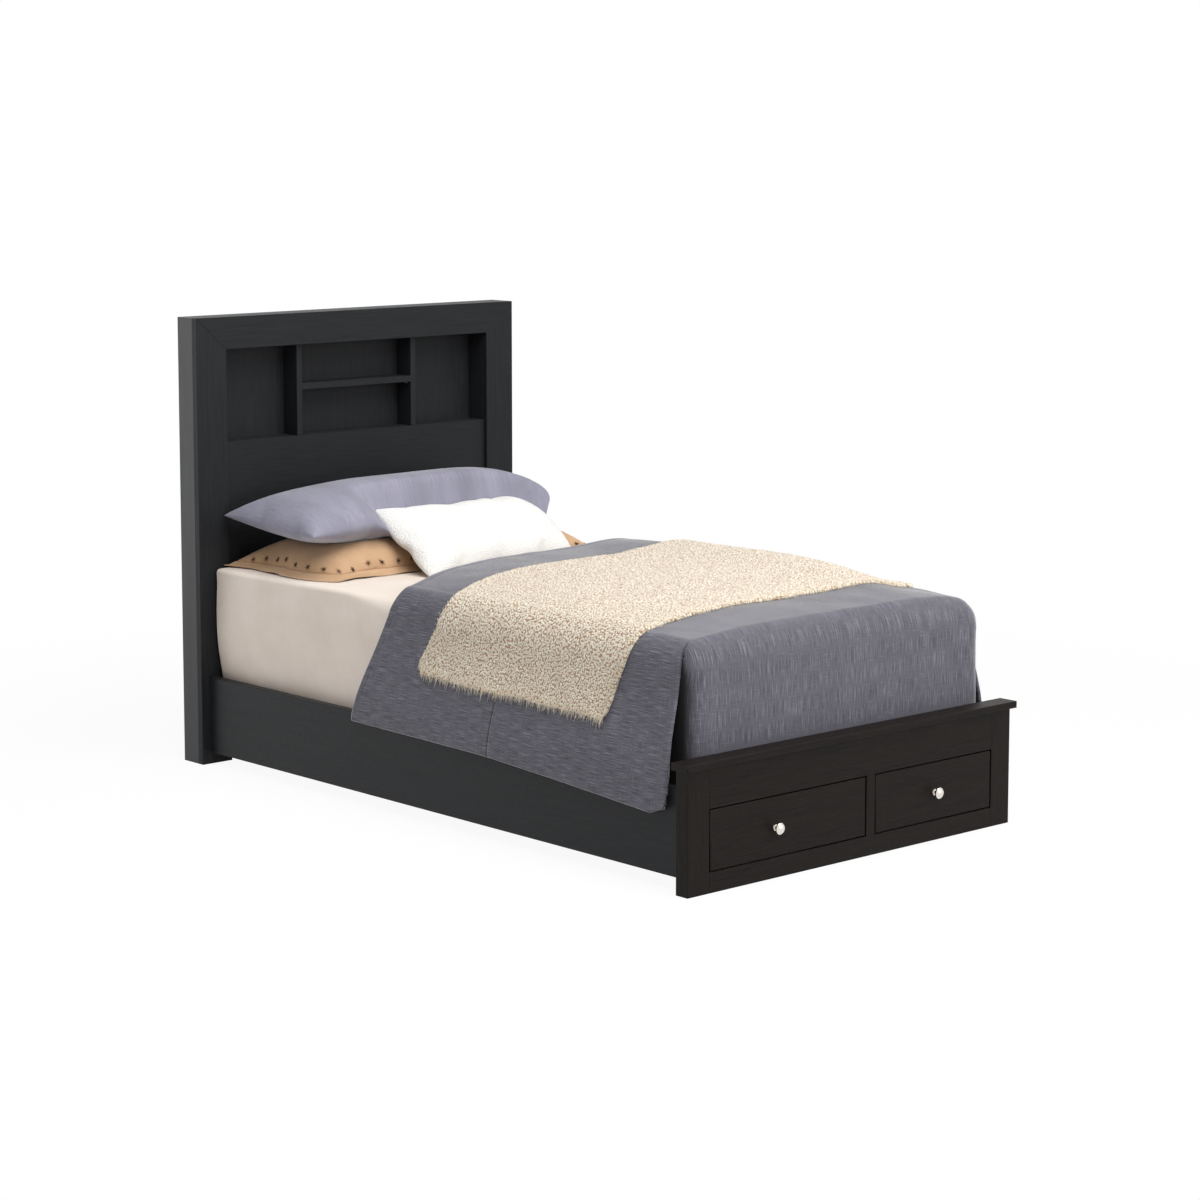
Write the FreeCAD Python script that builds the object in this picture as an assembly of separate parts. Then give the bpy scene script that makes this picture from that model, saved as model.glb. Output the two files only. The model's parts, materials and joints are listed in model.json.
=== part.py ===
"""Storage bed with a bookcase headboard and two drawers in the footboard.

Lengths are in millimetres. X runs across the bed, Y from the foot to the head and Z up.
The origin is on the floor, at the middle of the bed's footprint with its drawer knobs.
"""

import FreeCAD
import Part

import math
import os

from FreeCAD import Vector

# The bed as a whole
bed_width = 1140
headboard_height = 1250
clear_length = 1920  # from the footboard's back to the headboard's face
overrun = 5  # how far a cutting tool runs past what it cuts
slack = 0.01  # how near counts as in one plane

# Headboard: a face frame in front of a shallow bookcase
face_thickness = 20
face_stile_width = 100
face_rail_height = 90
case_depth = 70
case_board = 18
shelf_board = 18
bookcase_height = 332  # inside, from its floor to its ceiling
divider_from_centre = 197
middle_shelf_rise = 147  # of its top over the bookcase's floor
back_panel_thickness = 5
lower_panel_recess = 13
lower_panel_thickness = 18
lower_panel_bottom = 120
stretcher_height = 90

# Shelf pins
pin_radius = 2.5
pin_in_wall = 8
pin_under_shelf = 9
pin_inset = 18  # from the front and back edges of the shelf
pin_clearance = 0.1

# Footboard
footboard_height = 300
footboard_thickness = 40
footboard_stile_width = 70
footboard_rail_thickness = 22
drawer_opening_bottom = 50
drawer_opening_top = 202
centre_stile_width = 30
centre_stile_offset = 51  # to the right of the bed's middle
cap_thickness = 18
cap_overhang = 13
cap_back_overhang = 4
cap_easing = 3

# Side rails and what they carry
rail_thickness = 22
rail_height = 214
rail_bottom = 33
rail_inset = 28  # from the headboard's side
rail_easing = 1.2  # of its top edges
ledger_width = 20
ledger_height = 30
slat_count = 13
slat_width = 70
slat_thickness = 18
slat_top = 223
slat_end_clearance = 2
beam_width = 40
beam_height = 50
leg_count = 2
leg_size = 40
glide_radius = 12.5
glide_height = 4
glide_stem_radius = 2
glide_stem_length = 12

# Corner brackets and their bolts
bracket_thickness = 3
bracket_height = 110
bracket_rail_leg = 40
bracket_bottom = 55
bolt_radius = 3
bolt_length = 15  # in the wood
bolt_head_radius = 6
bolt_head_height = 4
bolt_spacing = 70
bolt_clearance = 0.3
bracket_end_gap = 5

# Drawers
drawer_side_gap = 4
drawer_height_gap = 3
drawer_front_thickness = 20
drawer_front_easing = 2.5
drawer_box_length = 470
drawer_box_lift = 12  # over the opening's lower edge
drawer_box_drop = 22  # under the opening's upper edge
drawer_board = 12
drawer_bottom_thickness = 4
drawer_bottom_raise = 8
drawer_bottom_groove = 5
groove_clearance = 0.2
drawer_behind_gap = 30  # from the drawer box to the back of its case
case_back_thickness = 15

# Telescopic drawer slides
slide_thickness = 13
slide_height = 45
slide_shortening = 20  # of the slide against the drawer box
slide_wall = 1.4
slide_running_gap = 0.6
slide_outer_flange = 7
slide_middle_flange = 6.5
slide_inner_flange = 7
slide_front_gap = 2

# Knobs
knob_from_centre = 283
knob_drop = 2  # under the middle of its drawer
knob_base_radius = 8
knob_base_height = 3
knob_neck_radius = 5
knob_neck_length = 13
knob_head_radius = 14.5
knob_rim_height = 3
knob_dome_height = 7
knob_length = 27
knob_screw_radius = 2
knob_screw_length = 28  # under its head
knob_hole_depth = 11
knob_screw_head_radius = 4.5
knob_screw_head_height = 2.5
knob_screw_clearance = 0.25

# Mattress and fitted sheet
mattress_side_gap = 25  # to the side rails
mattress_foot_gap = 24
mattress_head_gap = 6
mattress_height = 325
mattress_corner = 60
mattress_edge = 38
sheet_thickness = 1.5
soft_gap = 0.4  # between soft pieces that lie on each other

# Comforter, with its foot edge counted from the footboard's face
comforter_top = 36  # thickness over the mattress
comforter_drop = 12  # thickness where it hangs
comforter_crown = 30
comforter_rail_gap = 4
comforter_hem = 178
comforter_foot_hem = 262
comforter_foot_edge = 94
comforter_head_setback = 705  # of its head edge from the headboard's face
comforter_fold = 9
head_hem_fall = 105  # how far the head edge falls back at the left of the top
head_hem_reach = 900  # from the left edge to where the head edge is full
head_hem_sag = 5  # how far the head edge bows between the two
head_hem_slant = 115  # how far it comes back again down the left side
foot_edge_slant = 42  # how far the foot edges of the side drops draw back as they fall
foot_corner_radius = 34
comforter_fold_shares = (0, 0.7, 0.2, 1, 0.3, 0.8, 0.1, 0.9, 0.4, 1, 0.2, 0.7, 0.3)

# Throw blanket across the comforter
throw_thickness = 12
throw_start = 290  # from the footboard's face
throw_setback = 255  # from the comforter's head edge
throw_left_hem = 372
throw_right_hem = 450
throw_corner_radius = 60

# Pillows and cushion: their places are counted from the headboard's face and the sheet
pillow_seam = 5
lower_pillow_length = 950
lower_pillow_width = 410
lower_pillow_crown = 88
lower_pillow_belly = 24
lower_pillow_offset = -20
lower_pillow_setback = 232
lower_pillow_height = 23
lower_pillow_yaw = -3
upper_pillow_length = 930
upper_pillow_width = 415
upper_pillow_crown = 92
upper_pillow_belly = 68
upper_pillow_offset = -38
upper_pillow_setback = 232
upper_pillow_height = 148
upper_pillow_yaw = -2
upper_pillow_tilt = 3
cushion_length = 525
cushion_width = 292
cushion_crown = 62
cushion_belly = 48
cushion_offset = 80
cushion_setback = 428
cushion_height = 79
cushion_yaw = 0
cushion_tilt = 32.5
# Along the length, the width there and the height there, as shares of the whole
pillow_shares = (
    (-1, 1, 0.04),
    (-0.93, 0.95, 0.36),
    (-0.62, 0.92, 0.84),
    (0, 0.91, 1),
    (0.62, 0.92, 0.84),
    (0.93, 0.95, 0.36),
    (1, 1, 0.04),
)

# Worked out from the sizes above
half_width = bed_width / 2
headboard_depth = face_thickness + case_depth
total_length = knob_length + footboard_thickness + clear_length + headboard_depth
footboard_front = knob_length - total_length / 2
footboard_back = footboard_front + footboard_thickness
headboard_front = footboard_back + clear_length
case_front = headboard_front + face_thickness
headboard_back = headboard_front + headboard_depth
opening_half = half_width - face_stile_width
case_inner = half_width - case_board
panel_front = headboard_front + lower_panel_recess
panel_back = panel_front + lower_panel_thickness
back_panel_front = headboard_back - back_panel_thickness
case_ceiling = headboard_height - case_board
bookcase_floor = case_ceiling - bookcase_height
middle_shelf_top = bookcase_floor + middle_shelf_rise

rail_outer = half_width - rail_inset
rail_inner = rail_outer - rail_thickness
rail_top = rail_bottom + rail_height
ledger_inner = rail_inner - ledger_width
slat_bottom = slat_top - slat_thickness
ledger_bottom = slat_bottom - ledger_height

footboard_opening = half_width - footboard_stile_width
footboard_rail_back = footboard_front + footboard_rail_thickness
centre_stile_left = centre_stile_offset - centre_stile_width / 2
centre_stile_right = centre_stile_offset + centre_stile_width / 2
drawer_box_bottom = drawer_opening_bottom + drawer_box_lift
drawer_box_top = drawer_opening_top - drawer_box_drop
drawer_box_front = footboard_front + drawer_front_thickness
drawer_box_back = drawer_box_front + drawer_box_length
case_back = drawer_box_back + drawer_behind_gap
beam_start = case_back + case_back_thickness
slide_front = footboard_back + slide_front_gap
slide_length = drawer_box_length - slide_shortening
slide_middle_height = (drawer_box_bottom + drawer_box_top) / 2
knob_height = (drawer_opening_bottom + drawer_opening_top) / 2 - knob_drop

mattress_head = headboard_front - mattress_head_gap
mattress_foot = footboard_back + mattress_foot_gap
mattress_top = slat_top + mattress_height
mattress_half = rail_inner - mattress_side_gap
sheet_growth = soft_gap + sheet_thickness
sheet_top = mattress_top + sheet_growth
sheet_half = mattress_half + sheet_growth
bedding_floor = sheet_top + soft_gap
comforter_inner_half = sheet_half + soft_gap
shoulder_radius = mattress_edge + sheet_growth + soft_gap
shoulder_z = bedding_floor - shoulder_radius
flat_half = comforter_inner_half - shoulder_radius
comforter_head_edge = headboard_front - footboard_front - comforter_head_setback
throw_end = comforter_head_edge - throw_setback
diagonal_share = math.cos(math.radians(45))

left = -1
right = 1


def box(x0, x1, y0, y1, z0, z1):
    return Part.makeBox(x1 - x0, y1 - y0, z1 - z0, Vector(x0, y0, z0))


def on_side(side, near, far, y0, y1, z0, z1):
    """A box between two distances from the bed's middle plane, on one side of it."""
    a, b = sorted((side * near, side * far))
    return box(a, b, y0, y1, z0, z1)


def rod(start, axis, radius, length):
    return Part.makeCylinder(radius, length, start, axis)


def line(start, end):
    return Part.LineSegment(start, end).toShape()


def arc(start, middle, end):
    return Part.Arc(start, middle, end).toShape()


def polygon_face(points):
    return Part.Face(Part.makePolygon(points + points[:1]))


def edges_at_y(shape, y):
    """The edges that lie in the plane at one Y."""
    boxes = [(edge, edge.BoundBox) for edge in shape.Edges]
    return [edge for edge, reach in boxes if abs(reach.YMin - y) < slack and abs(reach.YMax - y) < slack]


def save(name, shapes):
    """Writes one node, which may hold several like solids."""
    solids = shapes if isinstance(shapes, list) else [shapes]
    shape = solids[0] if len(solids) == 1 else Part.makeCompound(solids)
    if not shape.isValid():
        raise ValueError(name + " isn't valid")
    shape.exportStep("parts/" + name + ".step")
    print(name, len(shape.Solids), round(shape.Volume))


# Places of the corner bolts


def bracket_bolt_heights():
    middle = bracket_bottom + bracket_height / 2
    return (middle - bolt_spacing / 2, middle + bolt_spacing / 2)


def post_bolt_x():
    return (rail_inner + ledger_inner) / 2


def bolt_hole(start, way):
    """A blind hole for one bolt, from the face of the wood."""
    return rod(start, way, bolt_radius + bolt_clearance, bolt_length + bolt_clearance)


# Headboard


def headboard_stile(side):
    """A board of the face frame, mitred at its top from corner to corner."""
    outer = side * half_width
    inner = side * opening_half
    shoulder = headboard_height - face_rail_height
    outline = [
        Vector(outer, headboard_front, 0),
        Vector(outer, headboard_front, headboard_height),
        Vector(inner, headboard_front, shoulder),
        Vector(inner, headboard_front, 0),
    ]
    board = polygon_face(outline).extrude(Vector(0, face_thickness, 0))
    for bolt_z in bracket_bolt_heights():
        start = Vector(side * post_bolt_x(), headboard_front, bolt_z)
        board = board.cut(bolt_hole(start, Vector(0, 1, 0)))
    return board


def headboard_top_rail():
    shoulder = headboard_height - face_rail_height
    outline = [
        Vector(-half_width, headboard_front, headboard_height),
        Vector(half_width, headboard_front, headboard_height),
        Vector(opening_half, headboard_front, shoulder),
        Vector(-opening_half, headboard_front, shoulder),
    ]
    return polygon_face(outline).extrude(Vector(0, face_thickness, 0))


def shelf_pins():
    """The pins under the middle shelf, as pairs of place and direction into the dividers."""
    pins = []
    front = case_front + pin_inset
    back = back_panel_front - pin_inset
    height = middle_shelf_top - shelf_board - pin_radius - pin_clearance
    for side in (left, right):
        for y in (front, back):
            start = Vector(side * (divider_from_centre - pin_under_shelf), y, height)
            pins.append((start, Vector(side, 0, 0)))
    return pins


def divider(side):
    board = on_side(
        side,
        divider_from_centre,
        divider_from_centre + shelf_board,
        case_front,
        back_panel_front,
        bookcase_floor,
        case_ceiling,
    )
    for start, way in shelf_pins():
        if way.x == side:
            depth = pin_under_shelf + pin_in_wall + pin_clearance
            board = board.cut(rod(start, way, pin_radius + pin_clearance, depth))
    return board


def build_headboard():
    for side, word in ((left, "left"), (right, "right")):
        save(
            "headboard_side_" + word,
            on_side(side, case_inner, half_width, case_front, headboard_back, 0, headboard_height),
        )
        save("headboard_stile_" + word, headboard_stile(side))
        save("bookcase_divider_" + word, divider(side))
        save(
            "bookcase_side_" + word,
            on_side(
                side,
                opening_half,
                opening_half + shelf_board,
                case_front,
                back_panel_front,
                bookcase_floor,
                case_ceiling,
            ),
        )
    save("headboard_top_rail", headboard_top_rail())
    save(
        "headboard_top_board",
        box(-case_inner, case_inner, case_front, headboard_back, case_ceiling, headboard_height),
    )
    shelf_bottom = bookcase_floor - shelf_board
    save(
        "bookcase_bottom_board",
        box(-case_inner, case_inner, panel_back, back_panel_front, shelf_bottom, bookcase_floor),
    )
    save(
        "bookcase_middle_shelf",
        box(
            -divider_from_centre,
            divider_from_centre,
            case_front,
            back_panel_front,
            middle_shelf_top - shelf_board,
            middle_shelf_top,
        ),
    )
    save(
        "shelf_pins",
        [rod(start, way, pin_radius, pin_under_shelf + pin_in_wall) for start, way in shelf_pins()],
    )
    save(
        "headboard_back_panel",
        box(-case_inner, case_inner, back_panel_front, headboard_back, lower_panel_bottom, case_ceiling),
    )
    save(
        "headboard_lower_panel",
        box(-opening_half, opening_half, panel_front, panel_back, lower_panel_bottom, bookcase_floor),
    )
    save(
        "headboard_stretcher",
        box(
            -case_inner,
            case_inner,
            panel_back,
            panel_back + shelf_board,
            lower_panel_bottom,
            lower_panel_bottom + stretcher_height,
        ),
    )


# Footboard


def footboard_stile(side):
    stile = on_side(side, footboard_opening, half_width, footboard_front, footboard_back, 0, footboard_height)
    for bolt_z in bracket_bolt_heights():
        start = Vector(side * post_bolt_x(), footboard_back, bolt_z)
        stile = stile.cut(bolt_hole(start, Vector(0, -1, 0)))
    return stile


def footboard_board(x0, x1, z0, z1):
    return box(x0, x1, footboard_front, footboard_rail_back, z0, z1)


def build_footboard():
    for side, word in ((left, "left"), (right, "right")):
        save("footboard_stile_" + word, footboard_stile(side))
    span = footboard_opening
    save("footboard_top_rail", footboard_board(-span, span, drawer_opening_top, footboard_height))
    save("footboard_bottom_rail", footboard_board(-span, span, 0, drawer_opening_bottom))
    save(
        "footboard_centre_stile",
        footboard_board(centre_stile_left, centre_stile_right, drawer_opening_bottom, drawer_opening_top),
    )
    cap_front = footboard_front - cap_overhang
    cap = box(
        -half_width - cap_overhang,
        half_width + cap_overhang,
        cap_front,
        footboard_back + cap_back_overhang,
        footboard_height,
        footboard_height + cap_thickness,
    )
    save("footboard_cap", cap.makeFillet(cap_easing, edges_at_y(cap, cap_front)))


# Side rails, slats and the middle support


def bracket_corners():
    """Each corner of the bed's frame: its side, the post's face and the way along the rail."""
    corners = []
    for side in (left, right):
        corners.append((side, footboard_back, 1))
        corners.append((side, headboard_front, -1))
    return corners


def rail_bolt_y(face, way):
    return face + way * (bracket_rail_leg + bracket_thickness) / 2


def bracket(side, face, way):
    """A steel angle with one leg on the rail and one on the post."""
    top = bracket_bottom + bracket_height
    y0, y1 = sorted((face, face + way * bracket_rail_leg))
    rail_leg = on_side(side, rail_inner - bracket_thickness, rail_inner, y0, y1, bracket_bottom, top)
    y0, y1 = sorted((face, face + way * bracket_thickness))
    post_leg = on_side(side, ledger_inner, rail_inner, y0, y1, bracket_bottom, top)
    angle = rail_leg.fuse(post_leg).removeSplitter()
    radius = bolt_radius + bolt_clearance
    for z in bracket_bolt_heights():
        along_rail = Vector(side * ledger_inner, rail_bolt_y(face, way), z)
        angle = angle.cut(rod(along_rail, Vector(side, 0, 0), radius, rail_inner))
        at_post = Vector(side * post_bolt_x(), face - way * overrun, z)
        angle = angle.cut(rod(at_post, Vector(0, way, 0), radius, bracket_rail_leg))
    return angle


def bolt(seat, way):
    """A bolt whose head sits on the bracket and whose shank runs into the wood."""
    shank = rod(seat, way, bolt_radius, bolt_length + bracket_thickness)
    head = rod(seat, way * -1, bolt_head_radius, bolt_head_height)
    socket = rod(seat + way * (-bolt_head_height), way, bolt_radius, bolt_head_height / 2)
    return head.cut(socket).fuse(shank).removeSplitter()


def bracket_bolts():
    bolts = []
    for side, face, way in bracket_corners():
        for z in bracket_bolt_heights():
            rail_seat = Vector(side * (rail_inner - bracket_thickness), rail_bolt_y(face, way), z)
            bolts.append(bolt(rail_seat, Vector(side, 0, 0)))
            post_seat = Vector(side * post_bolt_x(), face + way * bracket_thickness, z)
            bolts.append(bolt(post_seat, Vector(0, -way, 0)))
    return bolts


def side_rail(side):
    rail = on_side(side, rail_inner, rail_outer, footboard_back, headboard_front, rail_bottom, rail_top)
    long_edges = [edge for edge in rail.Edges if edge.BoundBox.YLength > rail_height]
    rail = rail.makeFillet(rail_easing, [edge for edge in long_edges if edge.BoundBox.ZMin > rail_top - slack])
    for corner_side, face, way in bracket_corners():
        if corner_side == side:
            for z in bracket_bolt_heights():
                start = Vector(side * rail_inner, rail_bolt_y(face, way), z)
                rail = rail.cut(bolt_hole(start, Vector(side, 0, 0)))
    return rail


def slats():
    first = footboard_back + bracket_rail_leg + bracket_end_gap
    last = headboard_front - bracket_end_gap - slat_width
    pitch = (last - first) / (slat_count - 1)
    half = rail_inner - slat_end_clearance
    boards = []
    for number in range(slat_count):
        y = first + number * pitch
        boards.append(box(-half, half, y, y + slat_width, slat_bottom, slat_top))
    return boards


def leg_places():
    pitch = (panel_front - beam_start) / leg_count
    return [beam_start + pitch * number + leg_size for number in range(leg_count)]


def support_leg(y):
    leg = box(-leg_size / 2, leg_size / 2, y, y + leg_size, glide_height, slat_bottom - beam_height)
    hole = rod(
        Vector(0, y + leg_size / 2, 0),
        Vector(0, 0, 1),
        glide_stem_radius + bolt_clearance,
        glide_height + glide_stem_length + bolt_clearance,
    )
    return leg.cut(hole)


def leg_glide(y):
    middle = Vector(0, y + leg_size / 2, 0)
    disc = rod(middle, Vector(0, 0, 1), glide_radius, glide_height)
    stem = rod(middle, Vector(0, 0, 1), glide_stem_radius, glide_height + glide_stem_length)
    return disc.fuse(stem).removeSplitter()


def build_base():
    for side, word in ((left, "left"), (right, "right")):
        save("side_rail_" + word, side_rail(side))
        save(
            "ledger_cleat_" + word,
            on_side(
                side,
                ledger_inner,
                rail_inner,
                beam_start,
                headboard_front - bracket_end_gap,
                ledger_bottom,
                slat_bottom,
            ),
        )
    save("corner_brackets", [bracket(side, face, way) for side, face, way in bracket_corners()])
    save("bracket_bolts", bracket_bolts())
    save("bed_slats", slats())
    half_beam = beam_width / 2
    beam_bottom = slat_bottom - beam_height
    save("centre_beam", box(-half_beam, half_beam, beam_start, panel_front, beam_bottom, slat_bottom))
    save("support_legs", [support_leg(y) for y in leg_places()])
    save("leg_glides", [leg_glide(y) for y in leg_places()])


# Drawers and their case


def slide_profile(side, wall_x, web_depth, flange_reach, height):
    """The walls of one slide member, whose depths are counted from the wall that carries it."""
    z0 = slide_middle_height - height / 2
    z1 = slide_middle_height + height / 2
    y0 = slide_front
    y1 = slide_front + slide_length
    low, high = sorted(flange_reach)
    web0, web1 = sorted(web_depth)

    def across(depth):
        return wall_x + side * depth

    def wall(depth0, depth1, bottom, top):
        x0, x1 = sorted((across(depth0), across(depth1)))
        return box(x0, x1, y0, y1, bottom, top)

    web = wall(web0, web1, z0, z1)
    lower = wall(low, high, z0, z0 + slide_wall)
    upper = wall(low, high, z1 - slide_wall, z1)
    return web.fuse(lower).fuse(upper).removeSplitter()


def slide_members(side, wall_x):
    """The outer, middle and inner members of one slide, nested with a running gap."""
    outer = slide_profile(side, wall_x, (0, slide_wall), (0, slide_outer_flange), slide_height)
    step = slide_wall + slide_running_gap
    middle_height = slide_height - step - step
    middle = slide_profile(
        side,
        wall_x,
        (step, step + slide_wall),
        (step, step + slide_middle_flange),
        middle_height,
    )
    inner_height = middle_height - step - step
    inner = slide_profile(
        side,
        wall_x,
        (slide_thickness - slide_wall, slide_thickness),
        (slide_thickness - slide_inner_flange, slide_thickness),
        inner_height,
    )
    return outer, middle, inner


def drawer_openings():
    """The name, left edge, right edge and knob place of each drawer's opening."""
    return (
        ("left", -footboard_opening, centre_stile_left, -knob_from_centre),
        ("right", centre_stile_right, footboard_opening, knob_from_centre),
    )


def drawer_front(x0, x1, knob_x):
    y0 = footboard_front
    front = box(
        x0 + drawer_side_gap,
        x1 - drawer_side_gap,
        y0,
        drawer_box_front,
        drawer_opening_bottom + drawer_height_gap,
        drawer_opening_top - drawer_height_gap,
    )
    front = front.makeFillet(drawer_front_easing, edges_at_y(front, y0))
    hole = rod(
        Vector(knob_x, y0 - overrun, knob_height),
        Vector(0, 1, 0),
        knob_screw_radius + knob_screw_clearance,
        drawer_front_thickness + overrun * 2,
    )
    return front.cut(hole)


def knob(knob_x):
    """A mushroom knob turned about its screw, with its face towards the foot of the bed."""
    face = footboard_front
    base = face - knob_base_height
    neck_end = face - knob_neck_length
    tip = face - knob_length
    rim_front = tip + knob_dome_height
    rim_back = rim_front + knob_rim_height
    sphere = (knob_head_radius**2 + knob_dome_height**2) / (knob_dome_height + knob_dome_height)
    half_turn = math.asin(knob_head_radius / sphere) / 2

    def at(radius, y):
        return Vector(radius, y, 0)

    flare = knob_head_radius - knob_neck_radius
    flare_middle = at(
        knob_neck_radius + flare * diagonal_share,
        neck_end + (rim_back - neck_end) * (1 - diagonal_share),
    )
    dome_middle = at(sphere * math.sin(half_turn), tip + sphere * (1 - math.cos(half_turn)))
    profile = Part.Wire(
        [
            line(at(0, face), at(knob_base_radius, face)),
            line(at(knob_base_radius, face), at(knob_base_radius, base)),
            line(at(knob_base_radius, base), at(knob_neck_radius, base)),
            line(at(knob_neck_radius, base), at(knob_neck_radius, neck_end)),
            arc(at(knob_neck_radius, neck_end), flare_middle, at(knob_head_radius, rim_back)),
            line(at(knob_head_radius, rim_back), at(knob_head_radius, rim_front)),
            arc(at(knob_head_radius, rim_front), dome_middle, at(0, tip)),
            line(at(0, tip), at(0, face)),
        ]
    )
    turned = Part.Face(profile).revolve(Vector(0, 0, 0), Vector(0, 1, 0), 360)
    turned.translate(Vector(knob_x, 0, knob_height))
    hole = rod(
        Vector(knob_x, face + overrun, knob_height),
        Vector(0, -1, 0),
        knob_screw_radius + knob_screw_clearance,
        knob_hole_depth + overrun,
    )
    return turned.cut(hole)


def knob_screw(knob_x):
    seat = Vector(knob_x, drawer_box_front, knob_height)
    shank = rod(seat, Vector(0, -1, 0), knob_screw_radius, knob_screw_length)
    head = rod(seat, Vector(0, 1, 0), knob_screw_head_radius, knob_screw_head_height)
    return head.fuse(shank).removeSplitter()


def build_drawer(name, x0, x1, knob_x):
    box_x0 = x0 + slide_thickness
    box_x1 = x1 - slide_thickness
    inner_x0 = box_x0 + drawer_board
    inner_x1 = box_x1 - drawer_board
    z0 = drawer_box_bottom
    z1 = drawer_box_top
    bottom_z = z0 + drawer_bottom_raise
    groove = box(
        inner_x0 - drawer_bottom_groove - groove_clearance,
        inner_x1 + drawer_bottom_groove + groove_clearance,
        drawer_box_front,
        drawer_box_back,
        bottom_z - groove_clearance,
        bottom_z + drawer_bottom_thickness + groove_clearance,
    )
    sides = [
        box(box_x0, inner_x0, drawer_box_front, drawer_box_back, z0, z1).cut(groove),
        box(inner_x1, box_x1, drawer_box_front, drawer_box_back, z0, z1).cut(groove),
    ]
    bottom = box(
        inner_x0 - drawer_bottom_groove,
        inner_x1 + drawer_bottom_groove,
        drawer_box_front,
        drawer_box_back,
        bottom_z,
        bottom_z + drawer_bottom_thickness,
    )
    back = box(inner_x0, inner_x1, drawer_box_back - drawer_board, drawer_box_back, z0, z1).cut(groove)
    # The back stands on the bottom panel, so its strip under the groove is left off.
    back = max(back.Solids, key=lambda solid: solid.Volume)
    slides = [slide_members(right, x0), slide_members(left, x1)]
    save("drawer_front_" + name, drawer_front(x0, x1, knob_x))
    save("drawer_sides_" + name, sides)
    save("drawer_back_" + name, back)
    save("drawer_bottom_" + name, bottom)
    save("drawer_knob_" + name, knob(knob_x))
    save("knob_screw_" + name, knob_screw(knob_x))
    save("slide_middle_" + name, [middle for outer, middle, inner in slides])
    save("slide_inner_" + name, [inner for outer, middle, inner in slides])
    return [outer for outer, middle, inner in slides]


def build_drawers():
    outer_members = []
    for name, x0, x1, knob_x in drawer_openings():
        outer_members += build_drawer(name, x0, x1, knob_x)
    save("slide_outer_members", outer_members)
    side_front = footboard_back + bracket_rail_leg + bracket_end_gap
    for side, word in ((left, "left"), (right, "right")):
        save(
            "drawer_case_side_" + word,
            on_side(side, footboard_opening, rail_inner, side_front, case_back, rail_bottom, slat_bottom),
        )
    save(
        "drawer_case_partition",
        box(centre_stile_left, centre_stile_right, footboard_rail_back, case_back, rail_bottom, slat_bottom),
    )
    save("drawer_case_back", box(-rail_inner, rail_inner, case_back, beam_start, rail_bottom, slat_bottom))


# Mattress and fitted sheet


def mattress_block(growth, bottom):
    """The mattress's rounded block, grown evenly, with its underside at a given height."""
    block = box(
        -mattress_half - growth,
        mattress_half + growth,
        mattress_foot - growth,
        mattress_head + growth,
        bottom,
        mattress_top + growth,
    )
    upright = [e for e in block.Edges if e.BoundBox.ZLength > mattress_edge]
    block = block.makeFillet(mattress_corner + growth, upright)
    top = [e for e in block.Edges if e.BoundBox.ZMin > mattress_top - mattress_edge]
    return block.makeFillet(mattress_edge + growth, top)


# Comforter and throw, hung from sections across the bed


def fold_at(y):
    """The share of the full fold at a place along the bed, straight between the folds' tops."""
    start = footboard_front + comforter_foot_edge
    pitch = (comforter_head_edge - comforter_foot_edge) / (len(comforter_fold_shares) - 1)
    place = min(max((y - start) / pitch, 0), len(comforter_fold_shares) - 1)
    below = min(int(place), len(comforter_fold_shares) - 2)
    rest = place - below
    return comforter_fold_shares[below] * (1 - rest) + comforter_fold_shares[below + 1] * rest


def side_x(z, out, fold):
    """How far from the bed's middle the hanging cloth is at a height, over the side rail."""
    rail_x = rail_outer + comforter_rail_gap
    share = min((shoulder_z - z) / (shoulder_z - rail_top), 1)
    return comforter_inner_half + (rail_x - comforter_inner_half) * share + fold * share + out


def draped_edges(y, up, out, crown, left_hem, right_hem):
    """The edges of a draped surface, from its left hem over the mattress to its right hem."""
    fold = comforter_fold * fold_at(y)
    top_z = bedding_floor + up
    bend_x = flat_half + (shoulder_radius + out) * diagonal_share
    bend_z = shoulder_z + (shoulder_radius + up) * diagonal_share

    def at(side, x, z):
        return Vector(side * x, y, z)

    def drop(side, hem):
        points = [at(side, side_x(hem, out, fold), hem)]
        if hem < rail_top:
            points.append(at(side, side_x(rail_top, out, fold), rail_top))
        points.append(at(side, side_x(shoulder_z, out, fold), shoulder_z))
        return points

    rise = drop(left, left_hem)
    fall = drop(right, right_hem)
    fall.reverse()
    edges = [line(a, b) for a, b in zip(rise, rise[1:])]
    edges.append(arc(rise[-1], at(left, bend_x, bend_z), at(left, flat_half, top_z)))
    start = at(left, flat_half, top_z)
    end = at(right, flat_half, top_z)
    edges.append(arc(start, at(right, 0, top_z + crown), end) if crown else line(start, end))
    edges.append(arc(at(right, flat_half, top_z), at(right, bend_x, bend_z), fall[0]))
    edges += [line(a, b) for a, b in zip(fall, fall[1:])]
    return edges, rise[0], fall[-1]


def draped_section(y, inner, outer, left_hem, right_hem):
    """A closed section of cloth; inner and outer each give a surface's up, out and crown."""
    under, under_left, under_right = draped_edges(y, *inner, left_hem, right_hem)
    over, over_left, over_right = draped_edges(y, *outer, left_hem, right_hem)
    hems = [line(over_left, under_left), line(over_right, under_right)]
    return Part.Wire(Part.__sortEdges__(over + hems + under))


def draped_cloth(start, end, inner, outer, left_hem, right_hem):
    """Cloth lofted along the bed, with a section at each fold and at both ends."""
    count = len(comforter_fold_shares)
    pitch = (comforter_head_edge - comforter_foot_edge) / (count - 1)
    folds = [comforter_foot_edge + pitch * number for number in range(count)]
    places = [start] + [place for place in folds if start < place < end] + [end]
    sections = []
    for place in places:
        sections.append(draped_section(footboard_front + place, inner, outer, left_hem, right_hem))
    return Part.makeLoft(sections, True, True)


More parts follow.
